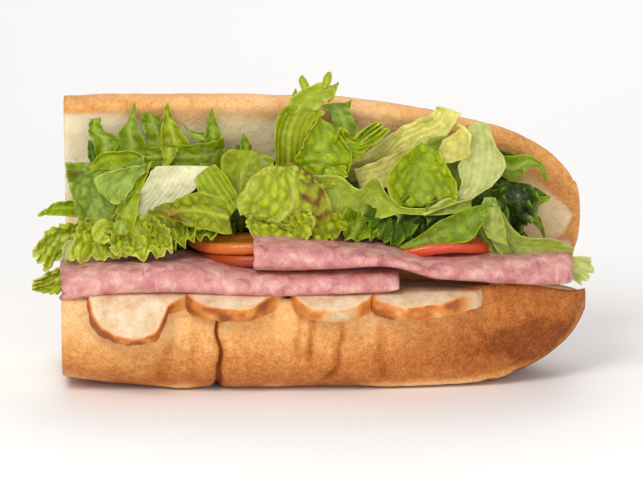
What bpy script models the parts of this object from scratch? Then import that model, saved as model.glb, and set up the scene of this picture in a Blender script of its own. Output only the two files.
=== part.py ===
"""Open half baguette filled with chicken, ham, tomato and mixed lettuce.

The loaf lies along X with its cut end at -X and its round tip at +X. It rests on the flat
base of its lower half. The slit opens towards -Y, and the upper half stands up round the
uncut crust at the back and leans on the lettuce. Lengths are in metres.
"""

import math
from collections import namedtuple

import bmesh
import bpy
import numpy as np
from mathutils import Matrix

MM = 0.001
GAP = 0.4 * MM
SOLVER = "MANIFOLD"

# Loaf: places along it are measured from the cut end
LOAF_LENGTH = 210 * MM
LID_LENGTH = 206 * MM
LOAF_START = -105 * MM
HALF_WIDTH = 38 * MM
FRONT_TAPER_START = 74 * MM
FRONT_TAPER_POWER = 2
BACK_TAPER_START = 100 * MM
BACK_TAPER_POWER = 4

# Lower half: the cut plane's front and back rim, and the crust below them
RIM_FRONT = 41 * MM
RIM_BACK = 31.5 * MM
RIM_TIP_RISE = 2.8 * MM
RIM_TIP_RISE_FROM = 125 * MM
RIM_TIP_RISE_TO = 170 * MM
RIM_TIP_DROP = 6.5 * MM
RIM_TIP_DROP_FROM = 178 * MM
HEEL_SIDE_POWER = 0.62
HEEL_DEPTH_POWER = 0.72
HEEL_SWELL = 0.05
HEEL_PRESSED_FLAT = 1.5 * MM
HEEL_DISH = 4 * MM
HEEL_DISH_END = 150 * MM
BASE_FLAT_END = 150 * MM
BASE_TIP_POWER = 2.2
BASE_TIP_SHARE = 0.93
CUT_END_LIFT = 5 * MM
CUT_END_LIFT_LENGTH = 45 * MM
CREASES = ((62 * MM, 1.6 * MM), (112 * MM, 1.1 * MM))
CREASE_WIDTH = 2.2 * MM

# Lid: p runs up its cut face from the hinge, q runs out towards its crown
LID_ANGLE = math.radians(72)
HINGE_Y = 36 * MM
LID_FACE_WIDTH = 79.5 * MM
LID_CENTRE = 32 * MM
LID_FAR_TAPER_START = 60 * MM
LID_FAR_TAPER_POWER = 2.45
LID_NEAR_TAPER_START = 100 * MM
LID_NEAR_TAPER_POWER = 14
LID_DEPTH_TAPER_START = 90 * MM
LID_DEPTH_TAPER_POWER = 2.6
LID_CROWN = 27 * MM
LID_BULGE = 2.6 * MM
LID_BULGE_AT = 4 * MM
LID_TIP_BULGE_FROM = 150 * MM
LID_TIP_BULGE_TO = 200 * MM
LID_CUT_DROP = 1.0 * MM
LID_CUT_DROP_LENGTH = 34 * MM
LID_CURL = 0.12
LID_DISH = 2.5 * MM
HINGE_RADIUS = 4.2 * MM
HINGE_START = 0.5 * MM
HINGE_END = 178 * MM
HINGE_RINGS = 6
HINGE_SIDES = 12

# Filling
CHICKEN_THICKNESS = 7.5 * MM
CHICKEN_INSIDE = 34 * MM
CHICKEN_TOP = 43.5 * MM
CHICKEN_RIM_Y = -36 * MM
CHICKEN_BEND = 10 * MM
CHICKEN_SINK = 0.10
CHICKEN_SQUARENESS = 3.2
CHICKEN_CORNER_ANGLE = 0.74
CHICKEN_CORNER_SPREAD = 0.45
HAM_DEPTH = 46 * MM
HAM_SIDE_POWER = 0.55
HAM_TOP_POWER = 0.8
HAM_SLOPE = 0.04
TOMATO_THICKNESS = 4.2 * MM
LEAF_THICKNESS = 1.2 * MM
LEAF_TO_LID = 2.6 * MM
CORE_CENTRE = (-7 * MM, 0 * MM, 66 * MM)
CORE_SIZE = (94 * MM, 22 * MM, 17 * MM)
VIEW_TILT = math.radians(14)

# Facets
LAST_STATION = 0.996
LOAF_STATIONS = 16
LID_STATIONS = 15
RING_POINTS_OUT = 12
RING_POINTS_CUT = 5
CHICKEN_RINGS = 3
CHICKEN_SEGMENTS = 20
HAM_RINGS = 13
HAM_POINTS = 16
TOMATO_RINGS = 2
TOMATO_SEGMENTS = 22
LEAF_RINGS = 2
LEAF_SEGMENTS = 12


def new_object(name, mesh, collection):
    """Links a new object with this mesh into the collection."""
    obj = bpy.data.objects.new(name, mesh)
    collection.objects.link(obj)
    return obj


def make_collection(name):
    collection = bpy.data.collections.new(name)
    bpy.context.scene.collection.children.link(collection)
    return collection


def make_material(name, colour, roughness):
    """A Principled material with one colour and no metal."""
    material = bpy.data.materials.new(name)
    material.use_nodes = True
    shader = material.node_tree.nodes["Principled BSDF"]
    shader.inputs["Base Color"].default_value = (*colour, 1)
    shader.inputs["Roughness"].default_value = roughness
    shader.inputs["Metallic"].default_value = 0
    return material


def finish_mesh(obj, material, angle=50):
    """Gives the object its material and smooth shading with sharp edges kept."""
    obj.data.materials.clear()
    obj.data.materials.append(material)
    obj.data.shade_smooth()
    obj.data.set_sharp_from_angle(angle=math.radians(angle))


def smooth_step(value, start, end):
    t = min(max((value - start) / (end - start), 0), 1)
    return t * t * (3 - 2 * t)


def loft(name, rings, tip, collection):
    """A closed solid through rings of points, flat at the first ring and pointed at tip."""
    bm = bmesh.new()
    rows = [[bm.verts.new(point) for point in ring] for ring in rings]
    count = len(rows[0])
    for lower, upper in zip(rows, rows[1:]):
        for i in range(count):
            j = (i + 1) % count
            bm.faces.new((lower[i], lower[j], upper[j], upper[i]))
    bm.faces.new(rows[0])
    if tip is None:
        bm.faces.new(rows[-1])
    else:
        point = bm.verts.new(tip)
        for i in range(count):
            bm.faces.new((rows[-1][i], rows[-1][(i + 1) % count], point))
    bmesh.ops.recalc_face_normals(bm, faces=bm.faces)
    mesh = bpy.data.meshes.new(name)
    bm.to_mesh(mesh)
    bm.free()
    return new_object(name, mesh, collection)


def apply_modifiers(obj):
    """Replaces the object's mesh by its evaluated one and removes its modifiers."""
    bpy.context.view_layer.update()
    depsgraph = bpy.context.evaluated_depsgraph_get()
    mesh = bpy.data.meshes.new_from_object(obj.evaluated_get(depsgraph))
    obj.modifiers.clear()
    obj.data = mesh


def unite(obj, collection):
    """Fuses the object with everything in the collection and removes the collection's objects."""
    union = obj.modifiers.new("union", "BOOLEAN")
    union.operation = "UNION"
    union.operand_type = "COLLECTION"
    union.collection = collection
    union.solver = SOLVER
    apply_modifiers(obj)
    for part in list(collection.objects):
        bpy.data.objects.remove(part)


def carve(obj, neighbour):
    """Cuts the neighbour's shape, grown by the gap, out of the object."""
    cutter = new_object("cutter", neighbour.data.copy(), cutters)
    normals = [vertex.normal.copy() for vertex in cutter.data.vertices]
    for vertex, normal in zip(cutter.data.vertices, normals):
        vertex.co += normal * GAP
    difference = obj.modifiers.new("carve", "BOOLEAN")
    difference.operation = "DIFFERENCE"
    difference.object = cutter
    difference.solver = SOLVER
    apply_modifiers(obj)
    bpy.data.objects.remove(cutter)


def keep_largest(obj):
    """Keeps the largest connected shell: scraps and sealed hollows go."""
    bm = bmesh.new()
    bm.from_mesh(obj.data)
    unseen = set(bm.faces)
    shells = []
    while unseen:
        stack = [unseen.pop()]
        shell = [stack[0]]
        while stack:
            face = stack.pop()
            for edge in face.edges:
                for other in edge.link_faces:
                    if other in unseen:
                        unseen.remove(other)
                        stack.append(other)
                        shell.append(other)
        shells.append(shell)
    shells.sort(key=len)
    loose = [face for shell in shells[:-1] for face in shell]
    bmesh.ops.delete(bm, geom=loose, context="FACES")
    bmesh.ops.triangulate(bm, faces=bm.faces)
    bm.to_mesh(obj.data)
    bm.free()


# Bread


def stations(length, count, creases=()):
    """Distances from the cut end, closer together towards the tip and at the creases."""
    even = [length * math.sin(0.5 * math.pi * k / count) ** 0.9 for k in range(count)]
    near = [at + side * CREASE_WIDTH for at, _ in creases for side in (-1, 0, 1)]
    apart = [s for s in even if all(abs(s - n) > CREASE_WIDTH for n in near)]
    return sorted(apart + near) + [length * LAST_STATION]


def plan_taper(s, start, length, power):
    """The share of the full half width that is left at this distance from the cut end."""
    t = min(max((s - start) / (length - start), 0), 1)
    return math.sqrt(1 - t**power)


def crease(s, share):
    """How far the crust dips here: creases run down the side of the loaf."""
    dips = (depth * math.exp(-(((s - at) / CREASE_WIDTH) ** 2)) for at, depth in CREASES)
    return sum(dips) * math.sin(math.pi * share) ** 0.5


def rim_height(s, across):
    """The height of the lower half's cut plane: across is 0 at the front rim, 1 at the back."""
    front = RIM_FRONT + RIM_TIP_RISE * smooth_step(s, RIM_TIP_RISE_FROM, RIM_TIP_RISE_TO)
    front -= RIM_TIP_DROP * smooth_step(s, RIM_TIP_DROP_FROM, LOAF_LENGTH)
    return front + (RIM_BACK - front) * across


def base_height(s):
    """The height of the underside: flat in the middle, lifted at the cut end and the tip."""
    if s < CUT_END_LIFT_LENGTH:
        return CUT_END_LIFT * (1 - s / CUT_END_LIFT_LENGTH) ** 2
    t = min(max((s - BASE_FLAT_END) / (LOAF_LENGTH - BASE_FLAT_END), 0), 1)
    return RIM_FRONT * BASE_TIP_SHARE * (1 - math.sqrt(1 - t**BASE_TIP_POWER))


def heel_back(s):
    """How far the lower half reaches to the back."""
    return HALF_WIDTH * plan_taper(s, BACK_TAPER_START, LOAF_LENGTH, BACK_TAPER_POWER)


def heel_ring(s):
    """The section of the lower half: down the front crust, along the base, up and across."""
    front = HALF_WIDTH * plan_taper(s, FRONT_TAPER_START, LOAF_LENGTH, FRONT_TAPER_POWER)
    back = heel_back(s)
    low = base_height(s) - HEEL_PRESSED_FLAT
    dish = HEEL_DISH * plan_taper(s, HEEL_DISH_END, LOAF_LENGTH, 2)
    ring = []
    for i in range(RING_POINTS_OUT + 1):
        share = i / RING_POINTS_OUT
        angle = math.pi * share
        cosine = math.cos(angle)
        width = front if cosine > 0 else back
        swell = 1 + HEEL_SWELL * math.sin(2 * angle) ** 2
        y = -width * swell * math.copysign(abs(cosine) ** HEEL_SIDE_POWER, cosine)
        y += crease(s, share) * cosine
        rim = rim_height(s, 0.5 - 0.5 * cosine)
        z = rim - (rim - low) * math.sin(angle) ** HEEL_DEPTH_POWER
        ring.append((LOAF_START + s, y, max(z, 0)))
    for i in range(1, RING_POINTS_CUT):
        share = i / RING_POINTS_CUT
        y = back - (front + back) * share
        z = rim_height(s, 1 - share) - dish * math.sin(math.pi * share) ** 0.6
        ring.append((LOAF_START + s, y, z))
    return ring


def make_heel(collection):
    rings = [heel_ring(s) for s in stations(LOAF_LENGTH, LOAF_STATIONS, CREASES)]
    tip = (LOAF_START + LOAF_LENGTH, 0, rim_height(LOAF_LENGTH, 0.5) - HEEL_PRESSED_FLAT)
    return loft("bread", rings, tip, collection)


def lid_point(s, p, q):
    """A point of the lid: p up the cut face from the hinge, q out towards the crown."""
    y = HINGE_Y - p * math.cos(LID_ANGLE) + q * math.sin(LID_ANGLE)
    z = RIM_BACK + p * math.sin(LID_ANGLE) + q * math.cos(LID_ANGLE)
    return (LOAF_START + s, y, z)


def lid_ring(s):
    """The section of the lid: round the crust from the far rim to the hinge, then the face."""
    far_taper = plan_taper(s, LID_FAR_TAPER_START, LID_LENGTH, LID_FAR_TAPER_POWER)
    near_taper = plan_taper(s, LID_NEAR_TAPER_START, LID_LENGTH, LID_NEAR_TAPER_POWER)
    size = plan_taper(s, LID_DEPTH_TAPER_START, LID_LENGTH, LID_DEPTH_TAPER_POWER)
    far = LID_CENTRE + (LID_FACE_WIDTH - LID_CENTRE) * far_taper
    far -= LID_CUT_DROP * (1 - smooth_step(s, 0, LID_CUT_DROP_LENGTH))
    near = LID_CENTRE * (1 - near_taper)
    middle, half = (far + near) / 2, (far - near) / 2
    crown, swell = LID_CROWN * size, LID_BULGE_AT * size
    bulge = LID_BULGE * (1 + smooth_step(s, LID_TIP_BULGE_FROM, LID_TIP_BULGE_TO))
    curl = math.sin(LID_CURL * math.pi)
    outer = []
    for i in range(RING_POINTS_OUT + 1):
        angle = math.pi * (i / RING_POINTS_OUT * (1 + 2 * LID_CURL) - LID_CURL)
        rise, side = math.sin(angle), math.cos(angle)
        if rise < 0:
            q = swell * (1 + rise / curl)
            reach = half + bulge * math.sqrt(max(1 - (rise / curl) ** 2, 0))
            p = middle + math.copysign(reach, side)
        else:
            q = swell + (crown - swell) * rise
            p = middle + (half + bulge) * side
        outer.append(lid_point(s, p, q))
    face = []
    for i in range(1, RING_POINTS_CUT):
        share = i / RING_POINTS_CUT
        p = near + (far - near) * share
        q = LID_DISH * size * math.sin(math.pi * share) ** 0.5
        face.append(lid_point(s, p, q))
    return outer + face


def make_lid(collection):
    rings = [lid_ring(s) for s in stations(LID_LENGTH, LID_STATIONS)]
    tip = lid_point(LID_LENGTH + 3 * MM, LID_CENTRE, 2 * MM)
    return loft("lid", rings, tip, collection)


def make_hinge(collection):
    """The uncut crust at the back that joins the two halves: a round bar along their corner."""
    rings = []
    for k in range(HINGE_RINGS + 1):
        s = HINGE_START + (HINGE_END - HINGE_START) * k / HINGE_RINGS
        middle = HINGE_Y - 0.5 * (HALF_WIDTH - heel_back(s))
        ring = []
        for i in range(HINGE_SIDES):
            angle = 2 * math.pi * i / HINGE_SIDES
            y = middle + HINGE_RADIUS * math.cos(angle)
            ring.append((LOAF_START + s, y, RIM_BACK + HINGE_RADIUS * math.sin(angle)))
        rings.append(ring)
    return loft("hinge", rings, None, collection)


def make_bread(collection):
    """The whole loaf in one piece: the lower half, the lid and the hinge crust."""
    bread = make_heel(collection)
    others = make_collection("bread_parts")
    make_lid(others)
    make_hinge(others)
    unite(bread, others)
    keep_largest(bread)
    return bread


# Discs: slices and leaves are round sheets that are bent into place


def disc_mesh(name, place, outline, rings, segments, collection):
    """An open round sheet: place(radius, angle) gives each point, outline(angle) the edge."""
    bm = bmesh.new()
    centre = bm.verts.new(place(0.0, 0.0))
    rows = []
    for k in range(1, rings + 1):
        row = []
        for i in range(segments):
            angle = 2 * math.pi * i / segments
            row.append(bm.verts.new(place(k / rings * outline(angle), angle)))
        rows.append(row)
    for i in range(segments):
        j = (i + 1) % segments
        bm.faces.new((centre, rows[0][i], rows[0][j]))
        for inner, outer in zip(rows, rows[1:]):
            bm.faces.new((inner[i], outer[i], outer[j]))
            bm.faces.new((inner[i], outer[j], inner[j]))
    mesh = bpy.data.meshes.new(name)
    bm.to_mesh(mesh)
    bm.free()
    return new_object(name, mesh, collection)


def thicken(obj, thickness, offset):
    solidify = obj.modifiers.new("thickness", "SOLIDIFY")
    solidify.thickness = thickness
    solidify.offset = offset
    apply_modifiers(obj)


# Chicken: middle x, width, reach beyond the front rim, droop in degrees, lean of the outline
# and the share that is missing at its front right corner
Slice = namedtuple("Slice", "x width reach droop lean corner")
CHICKEN = (
    Slice(-75.0 * MM, 43 * MM, 24 * MM, 52, 2 * MM, 0.22),
    Slice(-34.5 * MM, 40 * MM, 13.5 * MM, 30, -2 * MM, 0.08),
    Slice(3.5 * MM, 36 * MM, 13.5 * MM, 30, 2 * MM, 0),
    Slice(41.5 * MM, 44 * MM, 12.5 * MM, 28, -5 * MM, 0.06),
)


def chicken_path(along, droop):
    """Where the top of a slice runs: flat inside, then bending down over the rim."""
    if along <= 0:
        return CHICKEN_RIM_Y - along, CHICKEN_TOP + along * CHICKEN_SINK
    angle = math.radians(droop)
    bent = min(along / CHICKEN_BEND, 1) * angle
    radius = CHICKEN_BEND / angle
    rest = max(along - CHICKEN_BEND, 0)
    y = CHICKEN_RIM_Y - radius * math.sin(bent) - rest * math.cos(angle)
    z = CHICKEN_TOP - radius * (1 - math.cos(bent)) - rest * math.sin(angle)
    return y, z


def make_chicken(index, piece, collection):
    """A slice across a breast fillet, lying on the lower half with its end over the rim."""
    half_length = (CHICKEN_INSIDE + piece.reach) / 2
    middle = (piece.reach - CHICKEN_INSIDE) / 2

    def outline(angle):
        power = CHICKEN_SQUARENESS
        box = abs(math.cos(angle)) ** power + abs(math.sin(angle)) ** power
        corner = piece.corner * math.exp(-(((angle - CHICKEN_CORNER_ANGLE) / CHICKEN_CORNER_SPREAD) ** 2))
        return box ** (-1 / power) * (1 + 0.02 * math.sin(5 * angle + index)) * (1 - corner)

    def place(radius, angle):
        share = radius * math.cos(angle)
        x = piece.x + 0.5 * piece.width * radius * math.sin(angle) + piece.lean * share
        return (x, *chicken_path(middle + half_length * share, piece.droop))

    name = f"chicken_{index + 1}"
    obj = disc_mesh(name, place, outline, CHICKEN_RINGS, CHICKEN_SEGMENTS, collection)
    thicken(obj, CHICKEN_THICKNESS, -1)
    return obj


# Ham: stations of x, front y, underside z and thickness along each folded slice
Fold = namedtuple("Fold", "x front under thick")
HAM_LEFT = (
    Fold(-106 * MM, -38.5 * MM, 40.6 * MM, 10.5 * MM),
    Fold(-96 * MM, -41.0 * MM, 41.8 * MM, 10.5 * MM),
    Fold(-84 * MM, -42.5 * MM, 43.8 * MM, 9.0 * MM),
    Fold(-58 * MM, -42.5 * MM, 44.2 * MM, 9.5 * MM),
    Fold(-30 * MM, -42.5 * MM, 43.0 * MM, 7.8 * MM),
    Fold(-6 * MM, -42.5 * MM, 43.4 * MM, 7.0 * MM),
    Fold(12 * MM, -42.5 * MM, 43.9 * MM, 6.5 * MM),
    Fold(29 * MM, -41.5 * MM, 44.4 * MM, 6.0 * MM),
)
HAM_RIGHT = (
    Fold(-29 * MM, -41.0 * MM, 51.2 * MM, 12.0 * MM),
    Fold(-14 * MM, -41.5 * MM, 51.2 * MM, 11.0 * MM),
    Fold(8 * MM, -41.5 * MM, 51.8 * MM, 8.5 * MM),
    Fold(26 * MM, -40.5 * MM, 53.0 * MM, 5.5 * MM),
    Fold(42 * MM, -39.0 * MM, 47.2 * MM, 7.2 * MM),
    Fold(60 * MM, -36.0 * MM, 45.0 * MM, 8.5 * MM),
    Fold(80 * MM, -30.0 * MM, 43.8 * MM, 9.5 * MM),
    Fold(98 * MM, -22.0 * MM, 43.0 * MM, 10.0 * MM),
)


def blend_fold(folds, share):
    """The folded slice's measures at this share of its length, eased between stations."""
    place = share * (len(folds) - 1)
    i = min(int(place), len(folds) - 2)
    t = place - i
    before, after = folds[max(i - 1, 0)], folds[min(i + 2, len(folds) - 1)]

    def ease(p0, p1, p2, p3):
        cubic = 3 * (p1 - p2) + p3 - p0
        square = 2 * p0 - 5 * p1 + 4 * p2 - p3
        return p1 + 0.5 * t * (p2 - p0 + t * (square + t * cubic))

    return Fold(*(ease(*values) for values in zip(before, folds[i], folds[i + 1], after)))


def ham_ring(fold):
    """The section of a folded slice: a flat pad with a round fold at the front."""
    half_depth, half_thick = HAM_DEPTH / 2, fold.thick / 2
    ring = []
    for i in range(HAM_POINTS):
        angle = 2 * math.pi * i / HAM_POINTS
        c, s = math.cos(angle), math.sin(angle)
        back = half_depth * math.copysign(abs(c) ** HAM_SIDE_POWER, c)
        up = half_thick * math.copysign(abs(s) ** HAM_TOP_POWER, s)
        z = fold.under + half_thick + up - HAM_SLOPE * back
        ring.append((fold.x, fold.front + half_depth + back, z))
    return ring


def make_ham(name, folds, collection):
    rings = [ham_ring(blend_fold(folds, k / HAM_RINGS)) for k in range(HAM_RINGS + 1)]
    return loft(name, rings, None, collection)


# Tomato: middle x, middle y, radius, height of the underside, tilt and arch
Round = namedtuple("Round", "x y radius under tilt arch")
TOMATOES = {
    "tomato_left_low": Round(-24 * MM, -2 * MM, 29 * MM, 50.6 * MM, 2.5, 0.5 * MM),
    "tomato_left_top": Round(-28 * MM, -1 * MM, 28.5 * MM, 55.0 * MM, 3, 0.5 * MM),
    "tomato_right": Round(41 * MM, -2 * MM, 27.5 * MM, 53.6 * MM, 3, 2.0 * MM),
}


def make_tomato(name, piece, collection):
    """A round slice that lies on the ham, arched a little over its front edge."""

    def place(radius, angle):
        dx = piece.radius * radius * math.sin(angle)
        dy = -piece.radius * radius * math.cos(angle)
        arch = piece.arch * radius * math.cos(math.pi * (dx / piece.radius - 0.3))
        z = piece.under + TOMATO_THICKNESS - dy * math.tan(math.radians(piece.tilt)) + arch
        return (piece.x + dx, piece.y + dy, z)

    obj = disc_mesh(name, place, lambda angle: 1, TOMATO_RINGS, TOMATO_SEGMENTS, collection)
    thicken(obj, TOMATO_THICKNESS, -1)
    return obj


# Lettuce: base and tip of each leaf, width, roll about the midrib and cup in degrees,
# bow of the midrib, depth and number of the waves at the edge, and teeth round the edge
Leaf = namedtuple("Leaf", "base tip width roll cup bow ruffle waves teeth")


def leaf(base, tip, width, roll=0, cup=30, bow=3, ruffle=2.0, waves=5, teeth=0):
    """A leaf whose measures are given in millimetres and degrees."""
    base, tip = (np.array(point) * MM for point in (base, tip))
    return Leaf(base, tip, width * MM, roll, cup, bow * MM, ruffle * MM, waves, teeth)


LEAVES = {
    "spike_far_left": leaf((-84, 12, 62), (-88, 8, 100), 16, cup=50, bow=4, teeth=6),
    "spike_small_left": leaf((-86, 8, 62), (-97, 6, 92), 10, cup=40, teeth=5),
    "spike_tall_left": leaf((-68, 12, 64), (-80, 7, 107), 17, cup=60, bow=5, teeth=7),
    "spike_second": leaf((-62, 13, 66), (-72, 9, 103), 14, roll=20, cup=50, teeth=6),
    "spike_third": leaf((-56, 13, 66), (-64, 9, 104), 15, roll=-15, cup=50, teeth=7),
    "spike_fourth": leaf((-60, 11, 64), (-46, 7, 104), 17, roll=10, cup=40, teeth=7),
    "spike_short": leaf((-44, 11, 64), (-37, 8, 93), 8, teeth=5),
    "endive_stalk": leaf((-13, 8, 60), (-14, 2, 108), 17, roll=-10, cup=80, bow=4, ruffle=1),
    "endive_head": leaf((-12, 6, 62), (-1, -3, 123), 24, roll=-15, cup=50, bow=5, teeth=10),
    "endive_side": leaf((-8, 4, 66), (11, 0, 112), 17, roll=15, cup=50, bow=4, teeth=8),
    "curl_centre": leaf((-8, 0, 64), (-3, -6, 102), 27, roll=5, cup=45, bow=6, ruffle=3.2, waves=6),
    "curl_right": leaf((-2, 8, 68), (24, 2, 97), 24, cup=40, bow=4, ruffle=3.2, waves=6),
    "pale_back": leaf((12, 11, 60), (51, 6, 108), 36, roll=-6, cup=25, bow=5, ruffle=1, waves=3),
    "pale_right": leaf((44, -4, 60), (67, 6, 103), 33, roll=-28, cup=50, bow=5, ruffle=1.5, waves=4),
    "crumpled_inside": leaf((28, -4, 60), (52, -6, 90), 30, cup=35, bow=4, ruffle=2.5, waves=6),
    "wavy_lip": leaf((72, -6, 74), (2, -8, 82), 24, roll=-35, cup=25, bow=-10, ruffle=3.2, waves=5),
    "dark_spike_top": leaf((58, 8, 70), (90, 9, 82), 19, roll=10, cup=40, bow=5, teeth=7),
    "dark_spike_middle": leaf((58, 6, 68), (92, 8, 68), 16, cup=40, bow=4, teeth=7),
    "left_broad": leaf((-68, -6, 58), (-103, -5, 81), 33, roll=-12, cup=20, bow=5, ruffle=2.2),
    "left_tip": leaf((-88, -4, 60), (-115, -9, 65), 10, roll=10, cup=35, bow=2, ruffle=0.6),
    "left_drooping": leaf((-90, -8, 64), (-116, -15, 37), 25, roll=-10, cup=20, bow=5, ruffle=4, waves=6),
    "left_frill": leaf((-88, -12, 50), (-94, -27, 67), 34, cup=20, bow=4, ruffle=3.6, waves=7),
    "left_frill_inner": leaf((-66, -12, 48), (-70, -27, 67), 34, cup=20, bow=4, ruffle=3.6, waves=7),
    "pale_left": leaf((-66, -8, 58), (-53, -5, 89), 33, roll=8, cup=30, bow=3, ruffle=0.8, waves=3),
    "red_left": leaf((-36, -12, 62), (-68, -20, 75), 28, roll=-8, cup=25, bow=4, ruffle=2.4, waves=6),
    "green_left_low": leaf((-50, -12, 50), (-48, -26, 68), 34, cup=20, bow=4, ruffle=3, waves=7),
    "ribbed": leaf((-28, -10, 58), (-49, -14, 85), 22, roll=12, cup=60, bow=5, ruffle=1.2, waves=3),
    "red_centre": leaf((-26, -14, 58), (0, -16, 88), 48, roll=-5, cup=22, bow=6, ruffle=2.4, waves=6),
    "frill_centre": leaf((-14, -14, 50), (-16, -28, 69), 46, cup=18, bow=4, ruffle=3.6, waves=7),
    "dark_frill": leaf((24, -12, 50), (22, -25, 69), 40, cup=20, bow=4, ruffle=4, waves=7),
    "long_right": leaf((26, -20, 56), (62, -20, 77), 18, roll=-15, cup=45, bow=4, ruffle=1.5, waves=4),
    "pale_low_right": leaf((76, -8, 50), (58, -12, 82), 38, roll=8, cup=30, bow=4, ruffle=1.5, waves=4),
    "pale_tail": leaf((64, -8, 60), (100, -11, 57), 14, roll=5, cup=35, bow=2, ruffle=0.8, waves=3),
    "right_tip": leaf((78, 0, 64), (107, -9, 46), 15, roll=15, cup=25, bow=3, ruffle=1.0, waves=4),
}


def ahead_of_lid(point):
    """Moves a point that is too near the lid's cut face straight out in front of it."""
    normal = np.array((0, -math.sin(LID_ANGLE), -math.cos(LID_ANGLE)))
    clear = (point - np.array((0, HINGE_Y, RIM_BACK))) @ normal
    return point + normal * max(LEAF_TO_LID - clear, 0)


def unit(vector):
    return vector / np.linalg.norm(vector)


def leaf_place(shape, phase):
    """The function that puts a point of the leaf's round sheet into the heap."""
    facing = np.array((0, -math.cos(VIEW_TILT), math.sin(VIEW_TILT)))
    along = unit(shape.tip - shape.base)
    side = unit(np.cross(facing, along))
    normal = np.cross(along, side)
    roll = math.radians(shape.roll)
    side, normal = (
        side * math.cos(roll) + normal * math.sin(roll),
        normal * math.cos(roll) - side * math.sin(roll),
    )
    cup = math.radians(shape.cup)
    length = np.linalg.norm(shape.tip - shape.base)

    def place(radius, angle):
        run = 0.5 - 0.5 * radius * math.cos(angle)
        across = radius * math.sin(angle)
        lateral = 0.5 * shape.width * math.sin(cup * across) / cup
        fold = 0.5 * shape.width * (1 - math.cos(cup * across)) / cup
        bow = 4 * shape.bow * run * (1 - run)
        wave = shape.ruffle * min(radius, 1.2) ** 3 * math.sin(shape.waves * angle + phase)
        point = shape.base + along * length * run + side * lateral
        return ahead_of_lid(point + normal * (bow + fold + wave))

    return place


def leaf_outline(shape, phase):
    """Long teeth on endive, a gently uneven edge on the other leaves."""

    def outline(angle):
        if shape.teeth:
            swing = abs((angle * shape.teeth / math.pi) % 2 - 1)
            return 0.62 + 0.45 * swing
        return 0.92 + 0.08 * math.sin(3 * angle + phase) + 0.07 * math.sin(5 * angle + 2 * phase)

    return outline


def make_leaf(index, name, shape, collection):
    """One leaf as a thin wavy solid."""
    phase = 1.7 * index
    segments = 2 * shape.teeth if shape.teeth else LEAF_SEGMENTS
    place, outline = leaf_place(shape, phase), leaf_outline(shape, phase)
    obj = disc_mesh(name, place, outline, LEAF_RINGS, segments, collection)
    thicken(obj, LEAF_THICKNESS, 0)
    return obj


def make_core(collection):
    """The packed middle of the heap, behind the leaves that show."""
    mesh = bpy.data.meshes.new("lettuce")
    bm = bmesh.new()
    bmesh.ops.create_uvsphere(bm, u_segments=16, v_segments=8, radius=1)
    bmesh.ops.rotate(bm, verts=bm.verts, matrix=Matrix.Rotation(math.pi / 2, 3, "Y"))
    for vertex in bm.verts:
        x, y, z = vertex.co
        swell = 1 + 0.10 * math.sin(9 * x + 2) * math.cos(5 * z)
        point = [c + r * v * swell for c, r, v in zip(CORE_CENTRE, CORE_SIZE, (x, y, z))]
        vertex.co = ahead_of_lid(np.array(point))
    bm.to_mesh(mesh)
    bm.free()
    return new_object("lettuce", mesh, collection)


def make_lettuce(collection, neighbours):
    """The heap of salad in one piece: its core with the leaves that show fused on."""
    heap = make_core(collection)
    others = make_collection("lettuce_leaves")
    for index, (name, shape) in enumerate(LEAVES.items()):
        make_leaf(index, name, shape, others)
    unite(heap, others)
    keep_largest(heap)
    for neighbour in neighbours:
        carve(heap, neighbour)
    keep_largest(heap)
    return heap


for old in list(bpy.data.objects):
    bpy.data.objects.remove(old)

sandwich = make_collection("baguette_sandwich")
cutters = make_collection("cutters")
cutters.hide_render = True

crust = make_material("crust", (0.62, 0.32, 0.11), 0.55)
meat = make_material("chicken", (0.83, 0.66, 0.45), 0.45)
ham_pink = make_material("ham", (0.78, 0.42, 0.40), 0.35)
tomato_red = make_material("tomato", (0.62, 0.10, 0.04), 0.2)
tomato_orange = make_material("tomato_orange", (0.60, 0.17, 0.03), 0.2)
green = make_material("lettuce", (0.24, 0.33, 0.03), 0.35)

bread = make_bread(sandwich)
chicken = [make_chicken(index, piece, sandwich) for index, piece in enumerate(CHICKEN)]
ham_left = make_ham("ham_left", HAM_LEFT, sandwich)
ham_right = make_ham("ham_right", HAM_RIGHT, sandwich)
tomatoes = [make_tomato(name, piece, sandwich) for name, piece in TOMATOES.items()]

for left, right in zip(chicken, chicken[1:]):
    carve(right, left)
for piece in chicken:
    carve(bread, piece)
for ham in (ham_left, ham_right):
    for piece in chicken:
        carve(ham, piece)
    carve(ham, bread)
carve(ham_right, ham_left)
for index, tomato in enumerate(tomatoes):
    for below in (bread, ham_left, ham_right, *tomatoes[:index]):
        carve(tomato, below)
for piece in (bread, *chicken, ham_left, ham_right, *tomatoes):
    keep_largest(piece)

lettuce = make_lettuce(sandwich, (bread, *chicken, ham_left, ham_right, *tomatoes))

finish_mesh(bread, crust)
for piece in chicken:
    finish_mesh(piece, meat)
for piece in (ham_left, ham_right):
    finish_mesh(piece, ham_pink)
for piece, skin in zip(tomatoes, (tomato_orange, tomato_orange, tomato_red)):
    finish_mesh(piece, skin)
finish_mesh(lettuce, green, 40)
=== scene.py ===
# %% [markdown]
# An open baguette sandwich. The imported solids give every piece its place, and this notebook
# gives each one its fine shape and finish: crust, crumb, chicken, ham, tomato and salad.

# %% Load the frame
import math
from collections import namedtuple

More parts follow.
